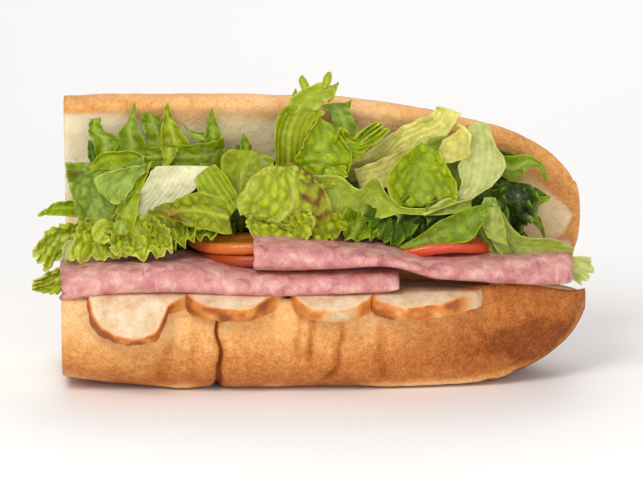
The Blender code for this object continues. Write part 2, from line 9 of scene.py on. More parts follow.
import bpy
import numpy as np
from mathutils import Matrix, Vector


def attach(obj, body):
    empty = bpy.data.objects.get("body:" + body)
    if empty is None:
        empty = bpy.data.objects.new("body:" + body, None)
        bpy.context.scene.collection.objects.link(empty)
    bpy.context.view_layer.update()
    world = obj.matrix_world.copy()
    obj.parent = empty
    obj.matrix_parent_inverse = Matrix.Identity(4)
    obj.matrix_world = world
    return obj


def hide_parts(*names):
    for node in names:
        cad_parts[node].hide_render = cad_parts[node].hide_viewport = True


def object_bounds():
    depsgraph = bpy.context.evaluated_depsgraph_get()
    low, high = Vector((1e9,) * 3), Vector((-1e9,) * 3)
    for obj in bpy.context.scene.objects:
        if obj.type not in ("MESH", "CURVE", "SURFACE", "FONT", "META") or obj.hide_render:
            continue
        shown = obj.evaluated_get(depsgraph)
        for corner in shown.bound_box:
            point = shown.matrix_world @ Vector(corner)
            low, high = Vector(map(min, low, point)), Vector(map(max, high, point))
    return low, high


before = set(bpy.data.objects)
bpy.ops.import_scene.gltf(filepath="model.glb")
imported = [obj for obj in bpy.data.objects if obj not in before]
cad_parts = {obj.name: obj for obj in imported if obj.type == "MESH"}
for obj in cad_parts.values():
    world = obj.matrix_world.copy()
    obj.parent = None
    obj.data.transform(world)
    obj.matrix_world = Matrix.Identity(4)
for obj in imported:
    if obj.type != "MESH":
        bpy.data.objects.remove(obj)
cad_low, cad_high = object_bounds()
MM = 0.001
print("CAD box in mm", [round(v / MM, 1) for v in (*cad_low, *cad_high)])

# %% [markdown]
# Colours are easiest to judge as the 0 to 255 values that a screen shows. A shader works with
# linear light, so one small function turns the first into the second.


# %% Colours
def shown(red, green, blue):
    """Linear colour of a screen colour given as 0 to 255."""
    channels = (value / 255 for value in (red, green, blue))
    return tuple(c / 12.92 if c <= 0.04045 else ((c + 0.055) / 1.055) ** 2.4 for c in channels)


# %% [markdown]
# Shader maths reads best as arithmetic. A Wire wraps an output socket, and an expression on
# wires adds the Math nodes. A Finish is one material: it makes every other node with one method.


# %% Wires and finishes
class Wire:
    """A shader value that can be used in plain arithmetic."""

    def __init__(self, finish, socket):
        self.finish, self.socket = finish, socket

    def maths(self, operation, first, second, clamp=False):
        settings = {"operation": operation, "use_clamp": clamp}
        return self.finish.node("ShaderNodeMath", settings, {0: first, 1: second})

    def __add__(self, other):
        return self.maths("ADD", self, other)

    __radd__ = __add__

    def __mul__(self, other):
        return self.maths("MULTIPLY", self, other)

    __rmul__ = __mul__

    def __sub__(self, other):
        return self.maths("SUBTRACT", self, other)

    def __rsub__(self, other):
        return self.maths("SUBTRACT", other, self)

    def clamped(self):
        return self.maths("ADD", self, 0.0, clamp=True)

    def above(self, low, high):
        """0 below low, 1 above high, eased in between."""
        settings = {"interpolation_type": "SMOOTHSTEP"}
        return self.finish.node("ShaderNodeMapRange", settings, {"Value": self, 1: low, 2: high})


class Finish:
    """One material. Values that are the same all over go on the shader's own sockets."""

    def __init__(self, name, **constants):
        self.material = bpy.data.materials.new(name)
        self.material.use_nodes = True
        self.tree = self.material.node_tree
        self.shader = self.tree.nodes["Principled BSDF"]
        for socket, value in constants.items():
            self.shader.inputs[socket.replace("_", " ")].default_value = value

    def node(self, kind, settings=None, inputs=None, output=0):
        """Adds a node: first its settings, then a value or a wire for each socket."""
        node = self.tree.nodes.new(kind)
        for key, value in (settings or {}).items():
            if key == "stops":
                self.set_stops(node.color_ramp, value)
            else:
                setattr(node, key, value)
        for socket, value in (inputs or {}).items():
            self.put(value, node.inputs[socket])
        return Wire(self, node.outputs[output])

    def put(self, value, socket):
        if isinstance(value, Wire):
            self.tree.links.new(value.socket, socket)
        elif socket.type == "RGBA" and len(value) == 3:
            socket.default_value = (*value, 1)
        else:
            socket.default_value = value

    def set_stops(self, ramp, stops):
        while len(ramp.elements) < len(stops):
            ramp.elements.new(0.5)
        for element, (place, colour) in zip(ramp.elements, stops):
            element.position = place
            element.color = (*colour, 1)

    def drive(self, **wires):
        """Feeds the shader's sockets that vary over the surface."""
        for socket, value in wires.items():
            self.put(value, self.shader.inputs[socket.replace("_", " ")])

    def places(self, stretch=(1, 1, 1)):
        """Object coordinates in metres, stretched along the axes."""
        where = self.node("ShaderNodeTexCoord", output=3)
        settings = {"operation": "MULTIPLY"}
        return self.node("ShaderNodeVectorMath", settings, {0: where, 1: stretch})

    def noise(self, size, detail=3, rough=0.55, stretch=(1, 1, 1), twist=0):
        """Soft noise from 0 to 1, whose blobs are about this many metres across."""
        inputs = {"Vector": self.places(stretch), "Scale": 1 / size, "Detail": detail}
        inputs.update({"Roughness": rough, "Distortion": twist})
        return self.node("ShaderNodeTexNoise", None, inputs)

    def cells(self, size, feature="F1"):
        """Distance to the nearest of scattered points, or as another feature to the border between."""
        inputs = {"Vector": self.places(), "Scale": 1 / size}
        return self.node("ShaderNodeTexVoronoi", {"feature": feature}, inputs)

    def value(self, name):
        """A number that the mesh carries at each point."""
        return self.node("ShaderNodeAttribute", {"attribute_name": name}, None, 2)

    def colour(self, name):
        """A colour that the mesh carries at each point."""
        return self.node("ShaderNodeAttribute", {"attribute_name": name}, None, 0)

    def ramp(self, wire, *stops):
        return self.node("ShaderNodeValToRGB", {"stops": stops}, {0: wire})

    def mix(self, share, first, second, blend="MIX"):
        settings = {"data_type": "RGBA", "blend_type": blend}
        return self.node("ShaderNodeMix", settings, {0: share, 6: first, 7: second}, 2)

    def bump(self, height, depth):
        """A normal from a height of 0 to 1 that stands for this many metres."""
        return self.node("ShaderNodeBump", None, {"Strength": 1.0, "Distance": depth, "Height": height})


def light_through(share, reach, *colour):
    """Shader settings for food that lets in light, by this share, this far and of this colour."""
    return {"Subsurface_Weight": share, "Subsurface_Scale": reach, "Subsurface_Radius": colour}


# %% [markdown]
# Relief that shows at the outline has to be in the mesh. These functions make smooth noise and
# scattered cells for arrays of points, the same way on every run.


# %% Noise for meshes
AXIS_PRIMES = (374761393, 668265263, 2147483629)
SEED_PRIME, MIXING_PRIME, LOW_BITS = 974634777, 1274126177, 0xFFFFFF


def scatter(cell, seed):
    """A repeatable random number from 0 to 1 for each whole-number place."""
    n = seed * SEED_PRIME + sum(cell[..., axis] * AXIS_PRIMES[axis] for axis in range(cell.shape[-1]))
    n = (n ^ (n >> 13)) * MIXING_PRIME
    n = n ^ (n >> 16)
    return (n & LOW_BITS) / LOW_BITS


def soft_noise(points, size, seed=0, octaves=3):
    """Noise from -1 to 1 at an array of points in two or three dimensions."""
    total, reach, weight = 0.0, 0.0, 1.0
    for octave in range(octaves):
        place = np.asarray(points) * (2**octave / size) + 17.3 * octave
        cell = np.floor(place).astype(np.int64)
        part = place - cell
        part = part * part * (3 - 2 * part)
        value = 0.0
        for corner in np.ndindex(*(2,) * place.shape[-1]):
            share = np.prod(np.where(np.array(corner) == 1, part, 1 - part), axis=-1)
            value = value + share * scatter(cell + np.array(corner), seed + octave)
        total = total + weight * (2 * value - 1)
        reach += weight
        weight *= 0.5
    return total / reach


def cell_domes(points, size, seed=0):
    """Domes over scattered points of a plane: 1 at the middle of a cell, 0 at its border."""
    place = np.asarray(points) / size
    cell = np.floor(place).astype(np.int64)
    nearest = np.full(place.shape[:-1], 9.0)
    second = nearest.copy()
    for dx in (-1, 0, 1):
        for dy in (-1, 0, 1):
            other = cell + np.array((dx, dy))
            jitter = np.stack([scatter(other, seed), scatter(other, seed + 7)], -1)
            distance = np.linalg.norm(other + jitter - place, axis=-1)
            second = np.minimum(second, np.maximum(nearest, distance))
            nearest = np.minimum(nearest, distance)
    return np.clip((second - nearest) * 1.6, 0, 1)


def limited(share):
    """Keeps a share between 0 and 1."""
    return np.clip(share, 0, 1)


def eased(value, start, end):
    """0 at start and before, 1 at end and after, with a soft rise in between."""
    t = limited((value - start) / (end - start))
    return t * t * (3 - 2 * t)


def bell(value, middle, width):
    """1 at the middle, falling off to about a third at this width to either side."""
    return np.exp(-(((value - middle) / width) ** 2))


def turns(count):
    """This many angles, evenly once round."""
    return np.linspace(0, 2 * np.pi, count, endpoint=False)


# %% [markdown]
# Every piece is a grid of points bent into shape. A grid may close on itself, and a sheet gets
# two faces and a rim. Normals come from the grid's own directions.


# %% Grids to meshes
def grid_normals(points, wrap=False):
    """Unit normals of a grid of points: rows along the first axis, columns along the second."""
    padded = np.concatenate([points[:, -1:], points, points[:, :1]], 1) if wrap else points
    along = np.gradient(padded, axis=0)
    across = np.gradient(padded, axis=1)
    normal = np.cross(along, across)
    normal = normal[:, 1:-1] if wrap else normal
    return normal / np.maximum(np.linalg.norm(normal, axis=-1, keepdims=True), 1e-12)


def grid_faces(rows, columns, start=0, wrap=False, flip=False):
    """Quads between neighbouring rows and columns of points numbered from start."""
    index = start + np.arange(rows * columns).reshape(rows, columns)
    if wrap:
        index = np.concatenate([index, index[:, :1]], 1)
    corners = (index[:-1, :-1], index[1:, :-1], index[1:, 1:], index[:-1, 1:])
    quads = np.stack(corners, -1).reshape(-1, 4)
    return quads[:, ::-1] if flip else quads


def outward_normals(points):
    """Unit normals of a closed grid, turned to face out, and 1 or -1 for how they were turned."""
    normal = grid_normals(points, wrap=True)
    sign = np.sign(np.sum(normal * (points - points.mean(1, keepdims=True))))
    return sign * normal, sign


def raised(points, relief):
    """A closed grid with each of its points moved outwards by the relief."""
    return points + outward_normals(points)[0] * relief[..., None]


def capped_faces(points):
    """Quads round a closed grid and a cap on its first and last row, all facing out."""
    rows, columns = points.shape[:2]
    first = np.arange(columns)
    faces = [*grid_faces(rows, columns, wrap=True), first, first[::-1] + (rows - 1) * columns]
    return faces if outward_normals(points)[1] > 0 else [face[::-1] for face in faces]


def build(name, points, faces, values, finish, slot, *nodes):
    """A smooth piece with one number or colour per point under each name in values."""
    mesh = bpy.data.meshes.new(name)
    mesh.from_pydata(points.reshape(-1, 3).tolist(), [], [list(face) for face in faces])
    for key, array in values.items():
        kind = "FLOAT_COLOR" if array.shape[-1:] == (4,) else "FLOAT"
        field = "color" if kind == "FLOAT_COLOR" else "value"
        layer = mesh.attributes.new(key, kind, "POINT")
        layer.data.foreach_set(field, np.ascontiguousarray(array, np.float32).ravel())
    mesh.validate()
    mesh.shade_smooth()
    mesh.materials.append(finish.material)
    piece = bpy.data.objects.new(name, mesh)
    bpy.context.scene.collection.objects.link(piece)
    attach(piece, "root")
    if nodes:
        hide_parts(*nodes)
    triangles = sum(len(polygon.vertices) - 2 for polygon in mesh.polygons)
    print(name, "has", triangles, "triangles")
    return piece


# %% [markdown]
# The loaf was baked on a tray, cut along its side and stood up on its base. Its measures are
# the same few that shaped the solid: the cut plane, the base, the tapers towards the tip and
# the lid's face. Lengths are in metres, and places along the loaf start at the cut end.

# %% Measures of the loaf
LOAF_LENGTH, LID_LENGTH, LOAF_START = 210 * MM, 206 * MM, -105 * MM
HALF_WIDTH = 38 * MM
FRONT_TAPER, BACK_TAPER = (74 * MM, 2), (100 * MM, 4)
RIM_FRONT, RIM_BACK = 41 * MM, 31.5 * MM
RIM_TIP_RISE, RIM_TIP_DROP = 2.8 * MM, 6.5 * MM
HEEL_SIDE_POWER, HEEL_DEPTH_POWER, HEEL_SWELL = 0.62, 0.72, 0.05
HEEL_PRESSED_FLAT, HEEL_DISH = 1.5 * MM, 4 * MM
BASE_FLAT_END, BASE_TIP_POWER, BASE_TIP_SHARE = 150 * MM, 2.2, 0.93
CUT_END_LIFT, CUT_END_LIFT_LENGTH = 5 * MM, 45 * MM
LID_ANGLE, HINGE_Y = math.radians(72), 36 * MM
LID_FACE_WIDTH, LID_CENTRE = 79.5 * MM, 32 * MM
LID_FAR_TAPER, LID_NEAR_TAPER, LID_DEPTH_TAPER = (60 * MM, 2.45), (100 * MM, 14), (90 * MM, 2.6)
LID_CROWN, LID_BULGE, LID_BULGE_AT = 27 * MM, 2.6 * MM, 4 * MM
LID_CURL, LID_DISH = 0.12, 2.5 * MM
LAST_STATION = 0.996
LID_CUT_DROP, LID_CUT_DROP_LENGTH = 1.0 * MM, 34 * MM
HINGE_RADIUS, HINGE_END = 4.0 * MM, 178 * MM


def taper(s, start_and_power, length):
    """The share of the full width left at each distance s from the cut end."""
    start, power = start_and_power
    t = limited((s - start) / (length - start))
    return np.sqrt(1 - t**power)


def rim_height(s, across):
    """The lower half's cut plane: across is 0 at its front rim and 1 at its back rim."""
    front = RIM_FRONT + RIM_TIP_RISE * eased(s, 125 * MM, 170 * MM)
    front = front - RIM_TIP_DROP * eased(s, 178 * MM, LOAF_LENGTH)
    return front + (RIM_BACK - front) * across


def base_height(s):
    lift = CUT_END_LIFT * limited(1 - s / CUT_END_LIFT_LENGTH) ** 2
    t = limited((s - BASE_FLAT_END) / (LOAF_LENGTH - BASE_FLAT_END))
    return lift + RIM_FRONT * BASE_TIP_SHARE * (1 - np.sqrt(1 - t**BASE_TIP_POWER))


# %% [markdown]
# A crease is where the dough folded or tore as it rose. Each runs down the side of the loaf on
# a wandering line. The deep one, almost a third of the way along, runs down to the base.

# %% Creases of the crust
# Place at the base and at the rim, depth, width, sway, and how low and high it reaches
CREASES = (
    (60.5 * MM, 63.5 * MM, 1.8 * MM, 0.55 * MM, 1.5 * MM, -0.2, 0.90),
    (93.5 * MM, 95.0 * MM, 0.7 * MM, 0.9 * MM, 0.6 * MM, 0.4, 1.2),
    (98.0 * MM, 99.5 * MM, 0.9 * MM, 1.1 * MM, 0.5 * MM, 0.3, 1.1),
    (104 * MM, 114 * MM, 0.8 * MM, 1.0 * MM, 2.2 * MM, 0.1, 0.95),
    (126 * MM, 129 * MM, 0.6 * MM, 1.4 * MM, 1.0 * MM, 0.1, 0.7),
    (54 * MM, 51 * MM, 0.5 * MM, 1.6 * MM, 0.8 * MM, 0.3, 1.1),
    (38 * MM, 43 * MM, 0.6 * MM, 2.0 * MM, 1.4 * MM, 0.05, 0.6),
)
CREASE_VALLEY = 0.30


def crease_depth(s, height):
    """How far the crust dips at s, where height runs from 0 at the base to 1 at the rim."""
    dip = np.zeros(np.broadcast(s, height).shape)
    for number, (low, high, depth, width, sway, start, end) in enumerate(CREASES):
        middle = low + (high - low) * height + sway * np.sin(5.5 * height + 1.9 * number)
        middle = middle + 0.35 * sway * np.sin(17 * height + number)
        spread = width * (1 + 1.8 * (1 - height) ** 4)
        reach = eased(height, start - 0.12, start + 0.12) * (1 - eased(height, end - 0.12, end + 0.12))
        groove = bell(s, middle, spread)
        valley = CREASE_VALLEY * bell(s, middle, 6 * width)
        dip += depth * reach * (groove + valley)
    return dip


def loaf_stations(length, count):
    """Distances from the cut end, closest together round the creases and at the tip."""
    even = length * np.sin(0.5 * np.pi * np.linspace(0, 1, count)) ** 0.95
    deep = [crease for crease in CREASES if crease[2] > MM]
    fine = [np.arange(low - 3 * MM, high + 3 * MM, 0.3 * MM) for low, high, *_ in deep]
    places = np.sort(np.concatenate([even, *fine]))
    places = places[np.concatenate([[True], np.diff(places) > 0.2 * MM])]
    return np.unique(np.clip(places, 0, length * LAST_STATION))


# %% [markdown]
# Both halves of the loaf are rings of points, one after the other along the loaf: first over the
# crust, then back across the cut. The cut end is filled by smaller copies of its ring, so that
# the crumb there has relief too. Each point carries three numbers for the finish: crumb is 1 on
# cut bread, tone is how brown the crust is, and toast marks crumb that a griddle has caught.

# %% Rings to a loaf
CRUST_POINTS, CUT_POINTS, END_RINGS, TIP_RINGS = 124, 66, 15, 7
STATIONS = 205
END_RELIEF, TIP_TURN, PLAIN_TIP = 0.6 * MM, math.radians(84), 8 * MM
share = np.linspace(0, 1, CRUST_POINTS)[None]
cut_share = np.linspace(0, 1, CUT_POINTS + 2)[None, 1:-1]


def loaf_rings(s, crust_y, crust_z, cut_y, cut_z):
    """A grid of points: a row for each station, the crust's columns before the cut's."""
    y = np.concatenate([crust_y, cut_y], 1)
    z = np.concatenate([crust_z, cut_z], 1)
    return np.stack([np.broadcast_to(LOAF_START + s, y.shape), y, z], -1).copy()


def on_crust_mask(s):
    mask = np.zeros((len(s), CRUST_POINTS + CUT_POINTS))
    mask[:, :CRUST_POINTS] = 1
    return mask


def loaf_piece(name, rings, values, tip_reach):
    """Closes the rings at the cut end, rounds them off at the tip and builds the piece."""
    bend = np.linspace(0, TIP_TURN, TIP_RINGS + 1)[1:, None, None]
    tip_middle = rings[-1].mean(0)
    tip = tip_middle + (rings[-1:] - tip_middle) * np.cos(bend)
    tip[..., 0] = rings[-1, 0, 0] + tip_reach * np.sin(bend[..., 0])
    middle = rings[0].mean(0)
    shares = ((np.arange(END_RINGS) + 0.7) / (END_RINGS + 0.4)) ** 0.8
    inner = middle + (rings[:1] - middle) * shares[:, None, None]
    pits = END_RELIEF * (0.6 + soft_noise(inner[..., 1:], 3.5 * MM, 21)) * (1 - shares**5)[:, None]
    inner[..., 0] += pits
    for key, array in values.items():
        first = np.repeat(array[:1], END_RINGS, 0)
        if key == "crumb":
            first[:-1] = 1
        if key == "toast":
            first[:] = 0
        values[key] = np.concatenate([first, array, np.repeat(array[-1:], TIP_RINGS, 0)])
    points = np.concatenate([inner, rings, tip])
    return build(name, points, capped_faces(points), values, crust, "crust", "bread")


# %% [markdown]
# Crust browns where it is high and dry, and stays pale where another loaf or the cut shaded it.
# Crumb is cream with painted shade in its bubbles, and orange where toasted. One finish shows either,
# led by the numbers on the mesh, so that the colour can turn within a millimetre at the rim.

# %% Finish of crust and crumb
crust = Finish("crust_and_crumb", Specular_IOR_Level=0.2)
crumb, tone, toast = (crust.value(name) for name in ("crumb", "tone", "toast"))
mottle = crust.noise(5 * MM, 5, 0.65)
grain = crust.noise(0.9 * MM, 3, 0.7)
patches = crust.noise(22 * MM, 3, 0.5)
pebbles = crust.noise(2.2 * MM, 3, 0.6)
brown = tone + 0.34 * (mottle - 0.5) + 0.60 * (grain - 0.5) + 0.34 * (pebbles - 0.5) + 0.22 * (patches - 0.5)
crust_colour = crust.ramp(
    brown,
    (0.00, shown(249, 219, 175)),
    (0.22, shown(243, 200, 143)),
    (0.45, shown(229, 168, 98)),
    (0.68, shown(198, 124, 61)),
    (0.86, shown(168, 94, 34)),
    (1.00, shown(130, 64, 20)),
)
bubbles = crust.cells(2.4 * MM)
flecks = crust.noise(1.6 * MM, 4, 0.7)
crumb_base = crust.ramp(
    0.45 * mottle + 0.35 * flecks + 0.4 * (patches - 0.5) + 0.1,
    (0.28, shown(238, 200, 136)),
    (0.44, shown(253, 230, 180)),
    (0.62, shown(255, 247, 224)),
)
toasted = crust.ramp(
    0.6 * flecks + 0.4 * mottle,
    (0.35, shown(206, 136, 70)),
    (0.62, shown(236, 190, 126)),
)
toast_share = (toast + 1.1 * (patches - 0.5) + 0.5 * (mottle - 0.5)).above(0.35, 0.95)
crumb_colour = crust.mix(0.85 * toast_share, crumb_base, toasted)
pore = (1 - bubbles.above(0.10, 0.34)) * patches.above(0.35, 0.65)
# Painted shade: the crumb is darker inside its bubbles.
crumb_colour = crust.mix(0.22 * pore, crumb_colour, shown(190, 154, 104))
crumb_share = (crumb + 0.5 * (mottle - 0.5)).above(0.20, 0.80)
crust_bump = crust.bump(0.5 * grain + 0.6 * pebbles, 0.5 * MM)
crumb_bump = crust.bump(flecks - 0.5 * pore, 0.30 * MM)
crust.drive(
    Base_Color=crust.mix(crumb_share, crust_colour, crumb_colour),
    Roughness=0.50 + 0.12 * mottle + 0.30 * crumb_share,
    Normal=crust.mix(crumb_share, crust_bump, crumb_bump),
)

# %% [markdown]
# The lower half rests on its base. Down the front its crust swells a little, a thin lip runs
# along the foot where the dough spread on the tray, and the right end is dark and wrinkled.

# %% Lower half of the loaf
HEEL_TIP_REACH, LIP_DEPTH, WRINKLE_DEPTH = 0.7 * MM, 1.1 * MM, 1.5 * MM
FOOT_TONE, RIM_PALER, TIP_BROWNER, CUT_END_PALER = 0.76, 0.40, 0.46, 0.07
SCORCH_BROWNER, FOOT_PALER, CREASE_SHADE, LIP_PALER = 0.34, 0.42, 0.60, 0.4
s = loaf_stations(LOAF_LENGTH, STATIONS)[:, None]
angle = np.pi * share
cosine = np.cos(angle)
front = HALF_WIDTH * taper(s, FRONT_TAPER, LOAF_LENGTH)
back = HALF_WIDTH * taper(s, BACK_TAPER, LOAF_LENGTH)
swell = 1 + HEEL_SWELL * np.sin(2 * angle) ** 2
width = np.where(cosine > 0, front, back)
crust_y = -width * swell * np.sign(cosine) * np.abs(cosine) ** HEEL_SIDE_POWER
crust_rim = rim_height(s, 0.5 - 0.5 * cosine)
low = base_height(s) - HEEL_PRESSED_FLAT
crust_z = np.maximum(crust_rim - (crust_rim - low) * np.sin(angle) ** HEEL_DEPTH_POWER, 0)
dish = HEEL_DISH * taper(s, (150 * MM, 2), LOAF_LENGTH)
cut_z = rim_height(s, 1 - cut_share) - dish * np.sin(np.pi * cut_share) ** 0.6
rings = loaf_rings(s, crust_y, crust_z, back - (front + back) * cut_share, cut_z)

on_crust = on_crust_mask(s)
height = limited(crust_z / RIM_FRONT)
dip = np.zeros(rings.shape[:2])
dip[:, :CRUST_POINTS] = crease_depth(s, height) * eased(np.abs(cosine), 0.02, 0.25)
lumps = 0.5 * MM * soft_noise(rings, 16 * MM, 1) + 0.15 * MM * soft_noise(rings, 4 * MM, 2)
lip_place = limited(0.45 + 1.2 * soft_noise(rings[..., :1] * np.ones(2), 30 * MM, 5))
lip_place = limited(lip_place + 0.7 * bell(s, 152 * MM, 22 * MM))
lip = LIP_DEPTH * bell(rings[..., 2] - base_height(s), 2.4 * MM, 1.5 * MM) * lip_place
wrinkles = WRINKLE_DEPTH * bell(s, 175 * MM, 7 * MM) * soft_noise(rings * np.array((1, 1, 0.5)), 3.2 * MM, 9)
crumb_relief = 0.5 * MM * soft_noise(rings, 3.5 * MM, 3) + 0.5 * MM * soft_noise(rings, 9 * MM, 4)
relief = np.where(on_crust > 0, lumps + lip - dip + wrinkles, crumb_relief)
rings = raised(rings, relief * eased(LOAF_LENGTH - s, 0, PLAIN_TIP))
rings[..., 2] = np.maximum(rings[..., 2], 0)

up = rings[..., 2]
# Darker towards the base and paler at the rim: partly the crust's own colour, partly painted shade, as the
# light falls from above.
heel_tone = FOOT_TONE - RIM_PALER * eased(up, 2 * MM, 36 * MM)
heel_tone += TIP_BROWNER * eased(s, 110 * MM, 190 * MM) - CUT_END_PALER * (1 - eased(s, 10 * MM, 60 * MM))
scorch = bell(s, 187 * MM, 11 * MM) * bell(up, 20 * MM, 7.5 * MM)
heel_tone += SCORCH_BROWNER * scorch * (rings[..., 1] < 5 * MM)
foot = (1 - eased(up - base_height(s), 3 * MM, 19 * MM)) * (1 - eased(s, 174 * MM, 194 * MM))
heel_tone -= FOOT_PALER * foot * eased(s, 110 * MM, 160 * MM)
# Painted shade darkens the crust in its creases, most where they dip deepest.
heel_tone += CREASE_SHADE * limited(dip / (1.8 * MM)) ** 1.5 - LIP_PALER * lip / MM
heel_tone += 0.10 * soft_noise(rings, 20 * MM, 12)
griddled = np.zeros(rings.shape[:2])
griddled[:, CRUST_POINTS:] = 1 - eased(1 - np.abs(2 * cut_share - 1), 0, 0.3)
heel_values = {"crumb": 1 - on_crust, "tone": limited(heel_tone), "toast": griddled}
loaf_piece("loaf_heel", rings, heel_values, HEEL_TIP_REACH)

# %% [markdown]
# The lid is the upper half of the same loaf. It is worked out in the plane of its cut face, p up
# from the hinge and q out towards the crown, and then turned to where it stands.

# %% Lid of the loaf
LID_TIP_REACH = 3.0 * MM
LID_TONE, CROWN_BROWNER, MIDDLE_PALER, LID_TIP_BROWNER = 0.40, 0.24, 0.05, 0.20
LID_CUT_END_BROWNER, LID_FOOT_BROWNER = 0.08, 0.14
s = loaf_stations(LID_LENGTH, STATIONS)[:, None]
size = taper(s, LID_DEPTH_TAPER, LID_LENGTH)
far = LID_CENTRE + (LID_FACE_WIDTH - LID_CENTRE) * taper(s, LID_FAR_TAPER, LID_LENGTH)
far = far - LID_CUT_DROP * (1 - eased(s, 0, LID_CUT_DROP_LENGTH))
near = LID_CENTRE * (1 - taper(s, LID_NEAR_TAPER, LID_LENGTH))
middle, half = (far + near) / 2, (far - near) / 2
bulge = LID_BULGE * (1 + eased(s, 150 * MM, 200 * MM))
curl = math.sin(LID_CURL * math.pi)
angle = np.pi * (share * (1 + 2 * LID_CURL) - LID_CURL)
rise, across = np.sin(angle), np.cos(angle)
swell = LID_BULGE_AT * size
reach = half + bulge * np.sqrt(limited(1 - (rise / curl) ** 2))
crust_q = np.where(rise < 0, swell * (1 + rise / curl), swell + (LID_CROWN * size - swell) * rise)
crust_p = np.where(rise < 0, middle + np.sign(across) * reach, middle + (half + bulge) * across)
p = np.concatenate([crust_p, near + (far - near) * cut_share], 1)
q = np.concatenate([crust_q, LID_DISH * size * np.sin(np.pi * cut_share) ** 1.1], 1)


def stand_lid(p, q):
    """Height and depth of a place on the lid once it stands open."""
    y = HINGE_Y - p * math.cos(LID_ANGLE) + q * math.sin(LID_ANGLE)
    return y, RIM_BACK + p * math.sin(LID_ANGLE) + q * math.cos(LID_ANGLE)


y, z = stand_lid(p, q)
rings = loaf_rings(s, y[:, :CRUST_POINTS], z[:, :CRUST_POINTS], y[:, CRUST_POINTS:], z[:, CRUST_POINTS:])
on_crust = on_crust_mask(s)
from_edge = np.zeros(p.shape)
from_edge[:, CRUST_POINTS:] = np.minimum(cut_share, 1 - cut_share) * (far - near)
lumps = 0.6 * MM * soft_noise(rings, 18 * MM, 31) + 0.2 * MM * soft_noise(rings, 4.5 * MM, 32) - 0.3 * MM
crumb_relief = 0.30 * MM * soft_noise(rings, 3 * MM, 33) + 0.5 * MM * soft_noise(rings, 14 * MM, 34)
relief = np.where(on_crust > 0, lumps, crumb_relief * eased(from_edge, 0, 3 * MM))
rings = raised(rings, relief * eased(LID_LENGTH - s, 0, PLAIN_TIP))

lid_tone = LID_TONE + CROWN_BROWNER * eased(q, 4 * MM, 22 * MM) - MIDDLE_PALER * eased(s, 40 * MM, 90 * MM)
lid_tone += LID_TIP_BROWNER * eased(s, 110 * MM, 200 * MM)
lid_tone += LID_CUT_END_BROWNER * (1 - eased(s, 0, 50 * MM))
lid_tone += LID_FOOT_BROWNER * (1 - eased(p, 0, 26 * MM)) + 0.09 * soft_noise(rings, 16 * MM, 41)
near_rim = (1 - eased(from_edge, 0, 17 * MM)) * (1 - on_crust)
griddled = near_rim**1.2 * (0.55 + 0.5 * eased(s, 8 * MM, 45 * MM)) + 0.10 * eased(s, 20 * MM, 60 * MM)
griddled += 0.55 * eased(s, 110 * MM, 150 * MM)
rolled = 9 * MM * eased(s, 150 * MM, 200 * MM) * (1 + 0.35 * soft_noise(rings, 9 * MM, 44))
lid_crumb = (1 - on_crust) * eased(from_edge - rolled, -1.5 * MM, 5.5 * MM)
lid_values = {"crumb": lid_crumb, "tone": limited(lid_tone), "toast": limited(griddled)}
loaf_piece("loaf_lid", rings, lid_values, LID_TIP_REACH)

# %% [markdown]
# Along the back the crust wasn't cut. It folds where the lid opens, so it is a thick soft roll in
# the corner between the halves, from the cut end almost to the tip.

# %% Hinge crust
HINGE_STATIONS, HINGE_POINTS, FOLD_DEPTH = 150, 48, 0.5 * MM
s = np.linspace(0.5 * MM, HINGE_END, HINGE_STATIONS)[:, None]
turn = turns(HINGE_POINTS)[None]
heel_back = HALF_WIDTH * taper(s, BACK_TAPER, LOAF_LENGTH)
middle = HINGE_Y - 0.5 * (HALF_WIDTH - heel_back)
y = middle + HINGE_RADIUS * np.cos(turn)
z = RIM_BACK + HINGE_RADIUS * np.sin(turn) + 0 * s
rings = np.stack([np.broadcast_to(LOAF_START + s, y.shape), y, z], -1)
relief = 0.35 * MM * soft_noise(rings, 9 * MM, 61) - FOLD_DEPTH * bell(turn, 0.6, 0.12)
rings = raised(rings, relief)
hinge_tone = limited(0.42 + 0.12 * soft_noise(rings, 12 * MM, 62))
hinge_values = {"crumb": 0 * hinge_tone, "tone": hinge_tone, "toast": 0 * hinge_tone}
build("loaf_hinge", rings, capped_faces(rings), hinge_values, crust, "crust", "bread")

# %% [markdown]
# A slice of chicken breast is a thick round slab with a soft rim. One function makes the slab's
# grid: out over the top, round the rim and back in underneath. It serves the tomatoes as well.


# %% Slabs
SLAB_CORE, SLAB_FLAT = 0.03, 0.96
SIDE_START, SIDE_FADE = 0.955, 0.03


def slab(place, top_rows, rim_rows, columns):
    """A closed grid bent by place(radius, angle, depth), those three, and a mask that is 1 at the side."""
    top = np.linspace(SLAB_CORE, SLAB_FLAT, top_rows)
    bend = np.linspace(0, np.pi, rim_rows + 2)[1:-1]
    radius = np.concatenate([top, SLAB_FLAT + (1 - SLAB_FLAT) * np.sin(bend), top[::-1]])[:, None]
    depth = np.concatenate([0 * top, 0.5 - 0.5 * np.cos(bend), 0 * top + 1])[:, None]
    angle = turns(columns)[None]
    points = place(radius, angle, depth)
    side = np.broadcast_to(limited((radius - SIDE_START) / SIDE_FADE), points.shape[:2])
    return points, radius, angle, depth, side


# %% [markdown]
# Each slice was cut across a roast fillet: a pale, moist face with faint fibres, and a browned
# skin round its edge that is darkest at the corners. The slices lie on the lower half and bend
# down over its rim, the first one furthest.

